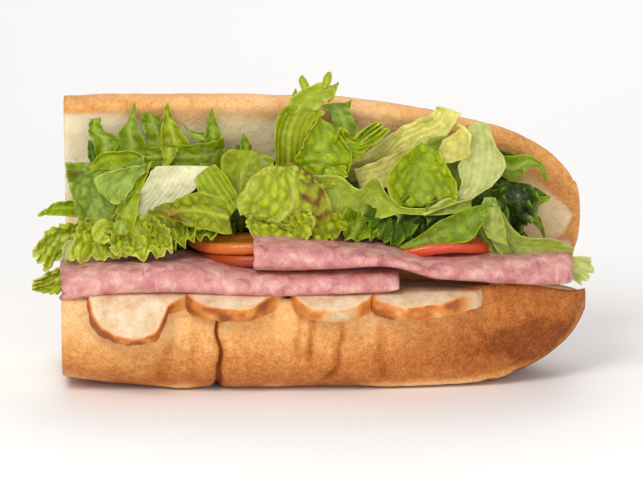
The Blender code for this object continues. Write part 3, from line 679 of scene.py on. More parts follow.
# %% Chicken slices
# Middle, width, reach beyond the rim, droop in degrees, lean, the shares that are missing at the
# front right and front left corner, the strength of the browning and how pale the right end is
CHICKEN = (
    (-74.0 * MM, 42 * MM, 24.1 * MM, 52, -3 * MM, (0.27, 0.12), 1.3, 0.2),
    (-34.5 * MM, 40 * MM, 13.3 * MM, 30, -2 * MM, (0.15, 0), 1.0, 0.8),
    (3.5 * MM, 36 * MM, 13.3 * MM, 30, 1 * MM, (0.13, 0), 0.5, 0.2),
    (41.5 * MM, 44 * MM, 12.3 * MM, 28, -5 * MM, (0.15, 0), 0.9, 0.7),
)
FRONT_CORNERS = (0.86, 2 * math.pi - 0.86)
CORNER_SPREAD = 0.38
CHICKEN_GRID = (34, 12, 120)
CHICKEN_INSIDE, CHICKEN_TOP, CHICKEN_RIM_Y = 34 * MM, 43.5 * MM, -36 * MM
CHICKEN_BEND, CHICKEN_SINK, CHICKEN_SQUARENESS, CHICKEN_THICKNESS = 10 * MM, 0.10, 4.2, 7.5 * MM

chicken = Finish("roast_chicken", **light_through(0.12, 4 * MM, 1.0, 0.6, 0.35))
browned = chicken.value("browned")
meat_mottle = chicken.noise(6 * MM, 4, 0.6)
fibres = chicken.noise(2.2 * MM, 4, 0.6, stretch=(1.6, 0.35, 0.6), twist=0.6)
speckle = chicken.noise(0.8 * MM, 3, 0.7)
flesh = chicken.ramp(
    0.72 * meat_mottle + 0.14 * fibres + 0.14 * speckle,
    (0.34, shown(206, 162, 112)),
    (0.47, shown(222, 190, 150)),
    (0.62, shown(236, 214, 182)),
)
cuts = chicken.noise(2.6 * MM, 2, 0.5, stretch=(0.6, 1.8, 1.8), twist=0.4).above(0.66, 0.74)
flesh = chicken.mix(0.35 * cuts, flesh, shown(186, 132, 84))
skin = chicken.ramp(
    browned + 0.8 * (meat_mottle - 0.5) + 0.45 * (speckle - 0.5),
    (0.20, shown(234, 182, 116)),
    (0.46, shown(226, 148, 66)),
    (0.74, shown(200, 110, 36)),
    (1.00, shown(152, 76, 18)),
)
skin_share = (browned + 0.45 * (meat_mottle - 0.5) + 0.15 * (speckle - 0.5)).above(0.14, 0.44)
chicken.drive(
    Base_Color=chicken.mix(skin_share, flesh, skin),
    Roughness=0.36 + 0.20 * meat_mottle + 0.10 * skin_share,
    Normal=chicken.bump(0.4 * fibres + 0.5 * speckle + 0.3 * meat_mottle, 0.45 * MM),
)


def chicken_path(along, droop, depth):
    """Where a slice runs: flat inside, then bending down over the rim. Depth is below its top."""
    angle = math.radians(droop)
    radius = CHICKEN_BEND / angle
    inside = np.minimum(along, 0)
    bent = limited(along / CHICKEN_BEND) * angle
    rest = np.maximum(along - CHICKEN_BEND, 0)
    y = CHICKEN_RIM_Y - inside - radius * np.sin(bent) - rest * math.cos(angle)
    z = CHICKEN_TOP + inside * CHICKEN_SINK - radius * (1 - np.cos(bent)) - rest * math.sin(angle)
    return y + depth * np.sin(bent), z - depth * np.cos(bent)


def chicken_slice(number, middle, width, reach, droop, lean, missing, brown, pale_end):
    half_length = (CHICKEN_INSIDE + reach) / 2

    def place(radius, angle, depth):
        power = CHICKEN_SQUARENESS
        box = np.abs(np.cos(angle)) ** power + np.abs(np.sin(angle)) ** power
        edge = box ** (-1 / power) * (1 + 0.02 * np.sin(5 * angle + number))
        corner = sum(gap * bell(angle, at, CORNER_SPREAD) for gap, at in zip(missing, FRONT_CORNERS))
        uneven = 0.010 * np.sin(9 * angle + 2 * number) + 0.007 * np.sin(23 * angle + 3 * number)
        edge = edge * (1 - corner) * (1 - uneven * radius)
        share = radius * edge * np.cos(angle)
        x = middle + 0.5 * width * radius * edge * np.sin(angle) + lean * share
        along = (reach - CHICKEN_INSIDE) / 2 + half_length * share
        y, z = chicken_path(along, droop, CHICKEN_THICKNESS * depth)
        return np.stack([np.broadcast_to(x, y.shape), y, z], -1)

    points, radius, angle, depth, side = slab(place, *CHICKEN_GRID)
    relief = 0.28 * MM * soft_noise(points, 5 * MM, 70 + number) - 0.1 * MM
    relief += side * 0.45 * MM * soft_noise(points, 2.6 * MM, 80 + number)
    points = raised(points, relief)
    front = eased(np.cos(angle), -0.2, 0.5)
    corners = np.abs(np.sin(2 * angle)) ** 3
    rim = np.maximum(side, eased(depth, 0.05, 0.3))
    stain = 0.5 * (0.3 + corners) * eased(np.where(depth > 0, 1, radius), 0.87, 0.98)
    blotches = 0.30 + 0.18 * corners + 0.22 * eased(np.cos(angle), 0.85, 1)
    blotches = blotches + 0.85 * soft_noise(points, 5 * MM, 90 + number)
    browned = brown * (rim * np.maximum(blotches, 0.08) + stain)
    browned *= (0.35 + 0.65 * front) * (1 - pale_end * eased(np.sin(angle), 0.55, 0.9))
    values = {"browned": limited(browned)}
    name, node = f"chicken_slice_{number + 1}", f"chicken_{number + 1}"
    return build(name, points, capped_faces(points), values, chicken, "chicken", node)


for number, measures in enumerate(CHICKEN):
    chicken_slice(number, *measures)

# %% [markdown]
# Sliced ham is a thin sheet folded over, so its front is a round fold and its ends show the
# layers. A grid for the middle of the sheet is bent along the fold and then given thickness,
# and the same function later makes the leaves.


# %% Thin sheets
RIM_THICKNESS, NEXT_THICKNESS = 0.35, 0.8


def sheet(middle, thickness):
    """Points and faces of a thin closed solid round a grid, with soft edges."""
    rows, columns = middle.shape[:2]
    from_row = np.minimum(np.arange(rows), np.arange(rows)[::-1])[:, None]
    from_column = np.minimum(np.arange(columns), np.arange(columns)[::-1])[None]
    near = np.minimum(from_row, from_column)
    share = np.where(near == 0, RIM_THICKNESS, np.where(near == 1, NEXT_THICKNESS, 1.0))
    half = 0.5 * thickness * share
    offset = grid_normals(middle) * np.broadcast_to(half, near.shape)[..., None]
    points = np.concatenate([(middle + offset).reshape(-1, 3), (middle - offset).reshape(-1, 3)])
    index = np.arange(rows * columns).reshape(rows, columns)
    edge = np.concatenate([index[:-1, 0], index[-1, :-1], index[:0:-1, -1], index[0, :0:-1]])
    after = np.roll(edge, -1)
    under = rows * columns
    rim = np.stack([after, edge, edge + under, after + under], -1)
    faces = [grid_faces(rows, columns), grid_faces(rows, columns, under, flip=True), rim]
    return points, np.concatenate(faces)


def through(stations, count):
    """A smooth row of measures through the given ones."""
    stations = np.array(stations, float)
    place = np.linspace(0, len(stations) - 1, count)
    i = np.minimum(place.astype(int), len(stations) - 2)
    t = (place - i)[:, None]
    first, last = 2 * stations[0] - stations[1], 2 * stations[-1] - stations[-2]
    padded = np.concatenate([[first], stations, [last]])
    p0, p1, p2, p3 = (padded[i + k] for k in range(4))
    cubic, square = 3 * (p1 - p2) + p3 - p0, 2 * p0 - 5 * p1 + 4 * p2 - p3
    return p1 + 0.5 * t * (p2 - p0 + t * (square + t * cubic))


# %% [markdown]
# Cooked ham is pink with mauve muscle, pale seams of fat and a few dark grains of pepper. Soft
# noise of two sizes gives the muscle, and noise drawn out along the cut gives the streaks.

# %% Finish of the ham
ham = Finish("cooked_ham", **light_through(0.12, 3 * MM, 1.0, 0.45, 0.35))
muscle = ham.noise(6 * MM, 4, 0.58, twist=0.5)
seams = ham.noise(5 * MM, 3, 0.6, stretch=(1.6, 0.6, 0.6), twist=0.5)
grainy = ham.noise(0.7 * MM, 3, 0.7)
ham_base = ham.ramp(
    0.8 * muscle + 0.2 * grainy,
    (0.34, shown(172, 92, 94)),
    (0.44, shown(199, 128, 124)),
    (0.55, shown(213, 153, 144)),
    (0.68, shown(228, 187, 175)),
)
streaks = seams.above(0.58, 0.70)
mauve = ham.noise(11 * MM, 4, 0.65).above(0.54, 0.66)
ham_colour = ham.mix(0.45 * streaks, ham_base, shown(234, 196, 182))
ham_colour = ham.mix(0.45 * mauve, ham_colour, shown(184, 100, 108))
threads = ham.noise(1.5 * MM, 3, 0.7, stretch=(1.5, 0.5, 0.5), twist=0.6).above(0.56, 0.70)
ham_colour = ham.mix(0.35 * threads, ham_colour, shown(188, 110, 112))
pepper = 1 - ham.cells(4.5 * MM).above(0.07, 0.12)
ham_colour = ham.mix(0.55 * pepper * ham.noise(14 * MM, 1).above(0.5, 0.6), ham_colour, shown(92, 40, 40))
ham.drive(
    Base_Color=ham_colour,
    Roughness=0.30 + 0.22 * grainy + 0.08 * muscle,
    Normal=ham.bump(0.35 * grainy + 0.35 * seams, 0.30 * MM),
)

# %% [markdown]
# A slice of ham is measured at eight places along the loaf, in millimetres, and smooth curves run
# through them. Each slice has one fold inside another, both open at the back, so its ends show
# four layers. The left slice closes in a round end, and the right one hangs soft at its far end.

# %% Folded ham
# Place along the loaf, front, underside and thickness of the fold
HAM_LEFT = (
    (-106, -40.0, 39.2, 11.0), (-96, -41.8, 40.8, 11.0), (-84, -42.5, 43.1, 9.6),
    (-58, -42.5, 43.8, 9.8), (-30, -42.5, 42.7, 8.0), (-6, -42.5, 43.1, 7.2),
    (12, -42.5, 43.9, 6.5), (29, -41.5, 44.4, 6.0),
)
HAM_RIGHT = (
    (-29, -41.0, 50.4, 14.0), (-14, -41.5, 50.6, 12.4), (8, -41.5, 51.4, 9.4),
    (26, -40.5, 52.4, 6.0), (42, -39.0, 47.0, 7.8), (60, -36.0, 44.8, 9.2),
    (80, -30.0, 43.2, 10.6), (98, -22.0, 42.2, 11.6),
)
HAM_DEPTH, HAM_SIDE_POWER, HAM_TOP_POWER, HAM_SLOPE = 46 * MM, 0.55, 0.8, 0.04
LAYER_SHARE, HAM_GAP = 0.225, 0.03
HAM_GRIDS = ((130, 70), (90, 40))


def ham_fold(folds, inset, rows, columns, seed, round_end):
    """One folded sheet: inset 0 is the outer fold, inset 1 the fold inside it."""
    x, front, under, thick = (through(np.array(folds) * MM, rows)[:, k, None] for k in range(4))
    layer = thick * LAYER_SHARE
    to_end = np.arange(rows)[::-1, None] / (0.06 * rows)
    closing = np.sqrt(np.clip(1 - limited(1 - to_end) ** 2, 0.25, 1))
    closing = closing if round_end else 1
    shrink = layer * (0.5 + 1.08 * inset)
    half_depth = HAM_DEPTH / 2 - shrink
    half_thick = (thick / 2 - shrink) * closing
    turn = np.linspace(np.radians(28), np.radians(332), columns)[None]
    c, up = np.cos(turn), np.sin(turn)
    back = half_depth * np.sign(c) * np.abs(c) ** HAM_SIDE_POWER
    rise = half_thick * np.sign(up) * np.abs(up) ** HAM_TOP_POWER
    y = front + HAM_DEPTH / 2 + back
    z = under + thick / 2 + rise - HAM_SLOPE * back
    points = np.stack([np.broadcast_to(x, y.shape), y, z], -1)
    start = eased(1 - np.arange(rows)[:, None] / (0.07 * rows), 0, 1)
    notch = 2.2 * bell(turn, 3.2, 0.25) + 0.5 * (1 + np.sin(3.1 * turn + 2 * inset))
    points[..., 0] += MM * start * (notch * (1 if round_end else 0.3) + 0.8 * inset)
    soft = 1 if round_end else eased(x, 55 * MM, 95 * MM)
    sag = 2.0 * MM * soft * eased(front + 14 * MM - y, 0, 10 * MM) * (1 - eased(up, 0.1, 0.9))
    points[..., 2] -= sag
    points[..., 1] += 0.7 * MM * soft_noise(points, 22 * MM, seed)
    points[..., 2] += 0.5 * MM * soft_noise(points, 13 * MM, seed + 3)
    return sheet(points, layer * (1 - HAM_GAP))


def folded_ham(name, node, folds, seed, round_end):
    """A folded slice: an outer fold and another one inside it."""
    outer, outer_faces = ham_fold(folds, 0, *HAM_GRIDS[0], seed, round_end)
    inner, inner_faces = ham_fold(folds, 1, *HAM_GRIDS[1], seed + 9, round_end)
    points = np.concatenate([outer, inner])
    faces = np.concatenate([outer_faces, inner_faces + len(outer)])
    return build(name, points, faces, {}, ham, "ham", node)


folded_ham("ham_fold_left", "ham_left", HAM_LEFT, 100, True)
folded_ham("ham_fold_right", "ham_right", HAM_RIGHT, 120, False)

# %% [markdown]
# A tomato slice has a thin glossy skin, a firm wall and wet chambers with seeds. Only rims and
# edges show here, but the whole slice gets its pattern: the chambers lie in a ring round the
# core. The two on the left are orange, the one on the right is red.

# %% Tomato slices
# Middle, radius, height of the underside, tilt in degrees and arch
TOMATOES = {
    "tomato_left_low": (-24 * MM, -2 * MM, 29 * MM, 50.6 * MM, 2.5, 0.5 * MM),
    "tomato_left_top": (-28 * MM, -1 * MM, 28.5 * MM, 55.0 * MM, 3, 0.5 * MM),
    "tomato_right": (41 * MM, -2 * MM, 27.5 * MM, 53.6 * MM, 3, 2.0 * MM),
}
TOMATO_THICKNESS, TOMATO_GRID = 4.2 * MM, (30, 10, 112)


def tomato_finish(name, skin, wall, gel):
    inside = light_through(0.15, 4 * MM, 1.0, 0.3, 0.12)
    finish = Finish(name, Coat_Weight=0.18, Coat_Roughness=0.12, **inside)
    rim, chamber = finish.value("rim"), finish.value("chamber")
    vary = finish.noise(5 * MM, 4, 0.6)
    fine = finish.noise(0.9 * MM, 2, 0.6)
    flesh = finish.mix(vary, wall, tuple(1.25 * c for c in wall))
    colour = finish.mix(chamber, flesh, gel)
    rind = finish.mix(vary, skin, tuple(0.75 * c for c in skin))
    finish.drive(
        Base_Color=finish.mix(rim, colour, rind),
        Roughness=0.16 + 0.22 * fine,
        Normal=finish.bump(0.6 * fine + 0.8 * vary - 0.5 * chamber, 0.4 * MM),
    )
    return finish


# SHADED_ORANGE is a darker orange for the lower left slice: painted shade from the slice and leaves above
# it.
SHADED_ORANGE = shown(176, 70, 26), shown(206, 100, 36), shown(180, 76, 26)
ORANGE = shown(222, 112, 34), shown(236, 148, 56), shown(214, 108, 34)
RED_RIPE = shown(216, 76, 30), shown(228, 104, 56), shown(198, 66, 26)
TOMATO_FINISHES = {
    "tomato_left_low": tomato_finish("shaded_orange_tomato", *SHADED_ORANGE),
    "tomato_left_top": tomato_finish("orange_tomato", *ORANGE),
    "tomato_right": tomato_finish("red_tomato", *RED_RIPE),
}


def tomato_slice(number, name):
    middle_x, middle_y, radius_all, under, tilt, arch = TOMATOES[name]

    def place(radius, angle, depth):
        wobble = 1 - 0.02 * (1 + np.sin(3 * angle + number))
        dx = radius_all * radius * wobble * np.sin(angle)
        dy = -radius_all * radius * wobble * np.cos(angle)
        rise = arch * radius * np.cos(np.pi * (dx / radius_all - 0.3))
        z = under + TOMATO_THICKNESS * (1 - depth) - dy * math.tan(math.radians(tilt)) + rise
        return np.stack([middle_x + dx + 0 * z, middle_y + dy + 0 * z, z], -1)

    points, radius, angle, depth, side = slab(place, *TOMATO_GRID)
    ring = np.exp(-(((radius - 0.6) / 0.2) ** 4)) * eased(np.sin(3 * angle + number), -0.5, 0.1)
    values = {"rim": limited(side * 1.2), "chamber": limited(ring)}
    points[..., 2] += (0.5 - depth) * -0.7 * MM * ring + 0.12 * MM * soft_noise(points, 4 * MM, 140 + number)
    slot = "tomato" if name == "tomato_right" else "tomato_orange"
    return build(f"{name}_slice", points, capped_faces(points), values, TOMATO_FINISHES[name], slot, name)


for number, name in enumerate(TOMATOES):
    tomato_slice(number, name)

# %% [markdown]
# The salad is a heap of single leaves. Each leaf is placed as it is seen: x to the right, then
# how high it shows from the viewing angle, then how deep it lies, all in millimetres. One
# function turns that into a place on the real object, so a leaf can be read off a picture.

# %% Where leaves lie
VIEW_TILT = math.radians(14)
LID_CLEAR = 1.6 * MM
BOX_CLEAR = 0.3 * MM
LID_OUT = np.array((0, -math.sin(LID_ANGLE), -math.cos(LID_ANGLE)))
LID_FOOT = np.array((0, HINGE_Y, RIM_BACK))


def seen(x, up, deep):
    """The place that shows at x and up in the view and lies deep behind the loaf's middle."""
    return np.array((x, deep, (up + deep * -math.sin(VIEW_TILT)) / math.cos(VIEW_TILT))) * MM


def keep_clear(points):
    """Keeps points in front of the lid's cut face and inside the box of the solids."""
    clear = (points - LID_FOOT) @ LID_OUT
    points = points + LID_OUT * np.maximum(LID_CLEAR - clear, 0)[..., None]
    return np.clip(points, np.array(cad_low) + BOX_CLEAR, np.array(cad_high) - BOX_CLEAR)


# %% [markdown]
# A leaf is a strip along a curve. Its place is given either by the curve of its midrib and a
# width, or by its two edges as they are seen. Its sides cup, and its edge is longer than its
# midrib, so it ruffles.

# %% Strip of a leaf
STRIP_ROWS = 200
LEAF_MESH, FRILL_MESH, FEWEST_ROWS = 0.55 * MM, 0.6, 16
LEAF_THICKNESS, LEAF_BASE, LEAF_WIDEST = 0.5 * MM, 0.35, 0.55
TO_VIEWER = np.array((0, -math.cos(VIEW_TILT), math.sin(VIEW_TILT)))


def half_width(u, point):
    """The outline's share of its full width along a leaf, blunt or drawn out to a point."""
    rise = LEAF_BASE + (1 - LEAF_BASE) * np.sin(0.5 * np.pi * limited(u / LEAF_WIDEST))
    fall = limited((u - LEAF_WIDEST) / (1 - LEAF_WIDEST))
    blunt = np.sqrt(limited(1 - fall**2.2))
    sharp = (1 - fall) ** 0.85
    return rise * (blunt * (1 - point) + sharp * point)


def unit(vectors):
    return vectors / np.maximum(np.linalg.norm(vectors, axis=-1, keepdims=True), 1e-9)


def edge(first, last, *places):
    """Seen places along an edge, with a depth that runs evenly from first to last."""
    return [(x, up, deep) for (x, up), deep in zip(places, np.linspace(first, last, len(places)))]


def strip(path, width, point):
    """Rows along a leaf: middle, direction, side, face and half width. Width may be an edge."""
    line = through([seen(*place) for place in path], STRIP_ROWS)
    if isinstance(width, list):
        other = through([seen(*place) for place in width], STRIP_ROWS)
        line, reach = (line + other) / 2, (line - other) / 2
        half, side = np.linalg.norm(reach, axis=1), unit(reach)
    else:
        half = 0.5 * width * MM * half_width(np.linspace(0, 1, STRIP_ROWS), point)
        side = unit(np.cross(TO_VIEWER, unit(np.gradient(line, axis=0))))
    along = unit(np.gradient(line, axis=0))
    return line, along, side, unit(np.cross(along, side)), half[:, None]


def opaque(tint):
    """A list of colours with full opacity, as a mesh stores them."""
    tint = tint.reshape(-1, 3)
    return np.concatenate([tint, np.ones((len(tint), 1))], 1)


def toward(tint, colour, share):
    """Mixes a field of colours with one colour by a share for each point."""
    return tint + (colour - tint) * limited(share)[..., None]


# %% [markdown]
# A leaf grows from u = 0 to u = 1, and v runs across it from -1 to 1. A blade keeps to its strip
# and cups. A lobe spreads from one point like a fan, and its ruffles lie round the far margin.
# Each form says how far along and across its points lie, how it folds and where its veins run.

# %% Forms of a leaf
Form = namedtuple("Form", "run half lateral fold margin phase vein_place")


def lobe_form(u, v, across, fan, cup, waves, wander, rim_noise, seed):
    """A lobe that fans out over this many degrees."""
    spoke = np.radians(fan / 2) * v
    reach = 0.5 * across * u * (1 + 0.14 * rim_noise)
    return Form(
        run=u * (1 + 0.14 * rim_noise) * (0.25 + 0.75 * np.cos(spoke)),
        half=reach,
        lateral=reach * np.sin(spoke) / math.sin(math.radians(fan / 2)),
        fold=reach * (1 - np.cos(np.radians(cup) * v)) / np.radians(cup),
        margin=u,
        phase=2 * np.pi * (waves * (v + 1) / 2 + 0.4 * wander) + seed,
        vein_place=(v * waves * 1.5 + 0.3 * wander) % 1,
    )


def blade_form(u, v, half, length, full_width, end, cup, curl, waves, wander, rim_noise, seed):
    """A blade with cupped sides. With end set, its far margin ruffles like its sides."""
    side_of = np.sign(v + 1e-9)
    uneven = 0.14 * soft_noise(np.stack([u * length / MM, 40 * side_of], -1), 7, seed + 1)
    reach = half * (1 + uneven * np.abs(v) ** 1.5)
    bend = np.radians(cup) * v + np.radians(curl) * v**3
    step = 2 / (v.shape[1] - 1)
    lateral, fold = np.cumsum(np.cos(bend), 1) * step, np.cumsum(np.sin(bend), 1) * step
    lateral = lateral - lateral.mean(1, keepdims=True)
    lateral = lateral / lateral.max() if full_width else lateral
    around = 2 * np.arctan2(u, 0.6 * v) / np.pi if end else u
    return Form(
        run=u * (1 + 0.10 * end * rim_noise * np.minimum(1, 3 * (1 - np.abs(v)))),
        half=half,
        lateral=lateral * reach,
        fold=(fold - fold[:, [v.shape[1] // 2]]) * reach,
        margin=np.maximum(np.abs(v), end * u**1.5),
        phase=2 * np.pi * (waves * around + 0.35 * wander) + 1.7 * side_of * (1 - end) + seed,
        vein_place=((u * length - 0.75 * np.abs(v) * half) / (4.6 * MM)) % 1,
    )


# %% [markdown]
# On top of its form a leaf ruffles towards the margin, swells between its veins and has a raised
# midrib, or fine ribs all over. Colours are worked out at each point: body, edge, rib, and a
# blush that covers a part of the leaf.


# %% One leaf
def leaf(path, width, colours, point=0.2, cup=30, curl=0, fan=0, end=0, crown=0, ruffle=1.5, waves=3,
         blister=0.5, rib=0.7, ribs=0, blush=None, coarse=1, seed=0):
    """One leaf through the seen places of path: points, faces and a colour for each point."""
    strip_rows = strip(path, width, point)
    length = np.linalg.norm(np.diff(strip_rows[0], axis=0), axis=1).sum()
    across = 2 * strip_rows[4].max()
    spacing = LEAF_MESH * coarse * (FRILL_MESH if fan or end else 1)
    rows, columns = (max(round(size / spacing), FEWEST_ROWS) for size in (length, across))
    u, v = np.meshgrid(np.linspace(0, 1, rows), np.linspace(-1, 1, columns), indexing="ij")
    wander = soft_noise(np.stack([u * length, v * across / 2], -1), 14 * MM, seed + 2)
    rim_noise = soft_noise(np.stack([v * 3, 0 * v], -1), 0.8, seed + 1)
    if fan:
        form = lobe_form(u, v, across, fan, cup, waves, wander, rim_noise, seed)
    else:
        half = strip_rows[4][(u[:, 0] * (STRIP_ROWS - 1)).astype(int)]
        two_edges = isinstance(width, list)
        form = blade_form(u, v, half, length, two_edges, end, cup, curl, waves, wander, rim_noise, seed)
    run, margin = form.run, form.margin
    place = limited(run) * (STRIP_ROWS - 1)
    low = np.minimum(place.astype(int), STRIP_ROWS - 2)
    part = (place - low)[..., None]
    beyond = (np.maximum(run - 1, 0) * length)[..., None]
    line, along, side, normal = (row[low] * (1 - part) + row[low + 1] * part for row in strip_rows[:4])
    spot = np.stack([u * length, v * form.half], -1)
    finer = 0.30 * margin**5 * np.sin(2.3 * form.phase + 1)
    swing = ruffle * MM * (margin**2.2 * np.sin(form.phase) + finer)
    domes = cell_domes(spot / np.array((1.25, 1.0)), 3.6 * MM, seed + 3)
    fine = soft_noise(spot, 2.2 * MM, seed + 4)
    swollen = blister * MM * (1.3 * domes - 0.5 + 0.6 * fine) * eased(margin, 0.02, 0.2)
    midrib = bell(v * form.half, 0, 0.9 * MM) * (1 - 0.8 * u)
    striping = ribs * MM * np.cos(2 * np.pi * v * form.half / (2.1 * MM)) * (1 - 0.5 * u)
    billow = MM * soft_noise(spot, 10 * MM, seed + 7) * eased(across, 6 * MM, 20 * MM)
    height = form.fold + swing + swollen + billow + rib * MM * midrib + striping
    points = line + along * beyond + side * form.lateral[..., None] + normal * height[..., None]
    wave = (0.35 if fan or end else 0.12) * ruffle * MM * margin**3 * np.cos(2 * form.phase)
    tipward = end * u[..., None] ** 2
    outwards = side * np.sign(form.lateral)[..., None] * (1 - tipward) + along * tipward * u[..., None] ** 2
    points = points + (along if fan else outwards) * wave[..., None]
    points = points + along * (crown * MM * (1 - v**2) * u**2)[..., None]
    veins = bell(form.vein_place, 0.5, 0.10)
    body, rim, rib_colour = (np.array(shown(*colour)) for colour in colours)
    # Random tone and painted light: the body is lighter on the swellings and darker between them.
    light = 1 + 0.22 * soft_noise(spot, 9 * MM, seed + 5) + 0.14 * fine + 0.55 * blister * (domes - 0.5)
    tint = body * light[..., None]
    tint = toward(tint, rim, 0.8 * margin**7 + 0.15 * eased(u, 0.85, 1))
    tint = toward(tint, rib_colour, 0.85 * midrib * min(1, 1.4 * rib) + 0.16 * veins * (1 - margin**3))
    tint = toward(tint, rib_colour, 0.5 * (striping > 0.3 * ribs * MM) * min(1, 3 * ribs))
    if blush:
        colour, where = blush
        share = where(u, v) * (0.8 + 1.0 * soft_noise(spot, 2.5 * MM, seed + 6))
        tint = toward(tint, np.array(shown(*colour)), share)
    points, faces = sheet(keep_clear(points), LEAF_THICKNESS)
    return points, faces, opaque(limited(np.concatenate([tint, tint])))


def frill(left, right, colours, **changes):
    """A short wide leaf whose far margin ruffles."""
    habit = {"end": 1, "ruffle": 1.5, "waves": 5, "blister": 1.1, "cup": 50, "rib": 0.2}
    return leaf(left, right, colours, **{**habit, **changes})


def lobe(path, width, colours, **changes):
    """A lobe that spreads from one point like a fan."""
    habit = {"fan": 150, "ruffle": 1.0, "waves": 4, "cup": 40}
    return leaf(path, width, colours, **{**habit, **changes})


def join_leaves(name, finish, leaves):
    """Leaves of one kind as one piece."""
    counts = np.cumsum([0] + [len(points) for points, _, _ in leaves])
    points = np.concatenate([points for points, _, _ in leaves])
    faces = np.concatenate([faces + start for start, (_, faces, _) in zip(counts, leaves)])
    tints = np.concatenate([tint for _, _, tint in leaves])
    print(name, "joins", len(leaves), "leaves")
    return build(name, points, faces, {"leaf_tint": tints}, finish, "lettuce", "lettuce")


# %% [markdown]
# A leaf's skin is waxy where it is smooth and dull where it is fine-veined. Light goes partly
# through it, which a little subsurface gives. The tint comes from the mesh, and the finish adds
# the fine net of veins.


# %% Finish of the leaves
def leaf_finish(name, rough, net, net_share, depth, coat=0.0):
    inside = light_through(0.2, 3 * MM, 0.6, 1.0, 0.25)
    finish = Finish(name, Coat_Weight=coat, Coat_Roughness=0.2, Specular_IOR_Level=0.25, **inside)
    tint = finish.colour("leaf_tint")
    vary = finish.noise(3.5 * MM, 4, 0.6)
    veins = 1 - finish.cells(net, "DISTANCE_TO_EDGE").above(0.0, 0.12)
    darker = finish.mix(0.75 * (0.62 - vary).clamped() * 2, tint, (0.55, 0.52, 0.3), "MULTIPLY")
    colour = finish.mix(net_share * veins, darker, (1.5, 1.4, 1.2), "MULTIPLY")
    finish.drive(
        Base_Color=colour,
        Roughness=rough + 0.3 * (vary - 0.5),
        Normal=finish.bump(vary - 0.35 * veins, depth),
    )
    return finish


CRISP = leaf_finish("crisp_leaf", 0.34, 2.2 * MM, 0.22, 0.35 * MM, 0.10)
SMOOTH = leaf_finish("smooth_leaf", 0.40, 3.5 * MM, 0.05, 0.10 * MM, 0.05)
ENDIVE = leaf_finish("endive_leaf", 0.36, 2.6 * MM, 0.08, 0.20 * MM, 0.06)
RED = leaf_finish("red_tipped_leaf", 0.36, 1.8 * MM, 0.30, 0.40 * MM, 0.10)

# Body, edge and rib of each kind of leaf
DARK = ((118, 140, 4), (150, 172, 30), (176, 192, 70))
DEEP = ((62, 88, 4), (112, 146, 22), (128, 156, 44))
SHADE = ((34, 50, 4), (130, 160, 40), (84, 110, 30))
BOWL = ((156, 172, 44), (206, 216, 100), (176, 190, 70))
BRIGHT = ((140, 160, 2), (188, 198, 44), (186, 198, 50))
FRILLY = ((158, 172, 24), (208, 210, 92), (208, 210, 104))
GREY = ((134, 156, 50), (160, 176, 72), (178, 190, 96))
PALE = ((216, 212, 166), (212, 212, 150), (234, 232, 204))
YELLOW = ((212, 205, 106), (224, 218, 124), (230, 222, 152))
MILKY = ((184, 188, 112), (208, 214, 132), (210, 214, 150))
OLD_PALE = ((148, 162, 60), (174, 184, 86), (174, 182, 92))
OLIVE = ((138, 150, 2), (176, 186, 40), (190, 196, 56))
SOFT = ((148, 172, 62), (190, 202, 100), (190, 202, 108))
BROWN = (116, 76, 26)

# %% [markdown]
# Endive stands up at the back: long, wavy, dark leaves with thin pale ribs, seen against the
# toasted crumb of the lid. Its head bends over in the middle, above the rim of the lid.

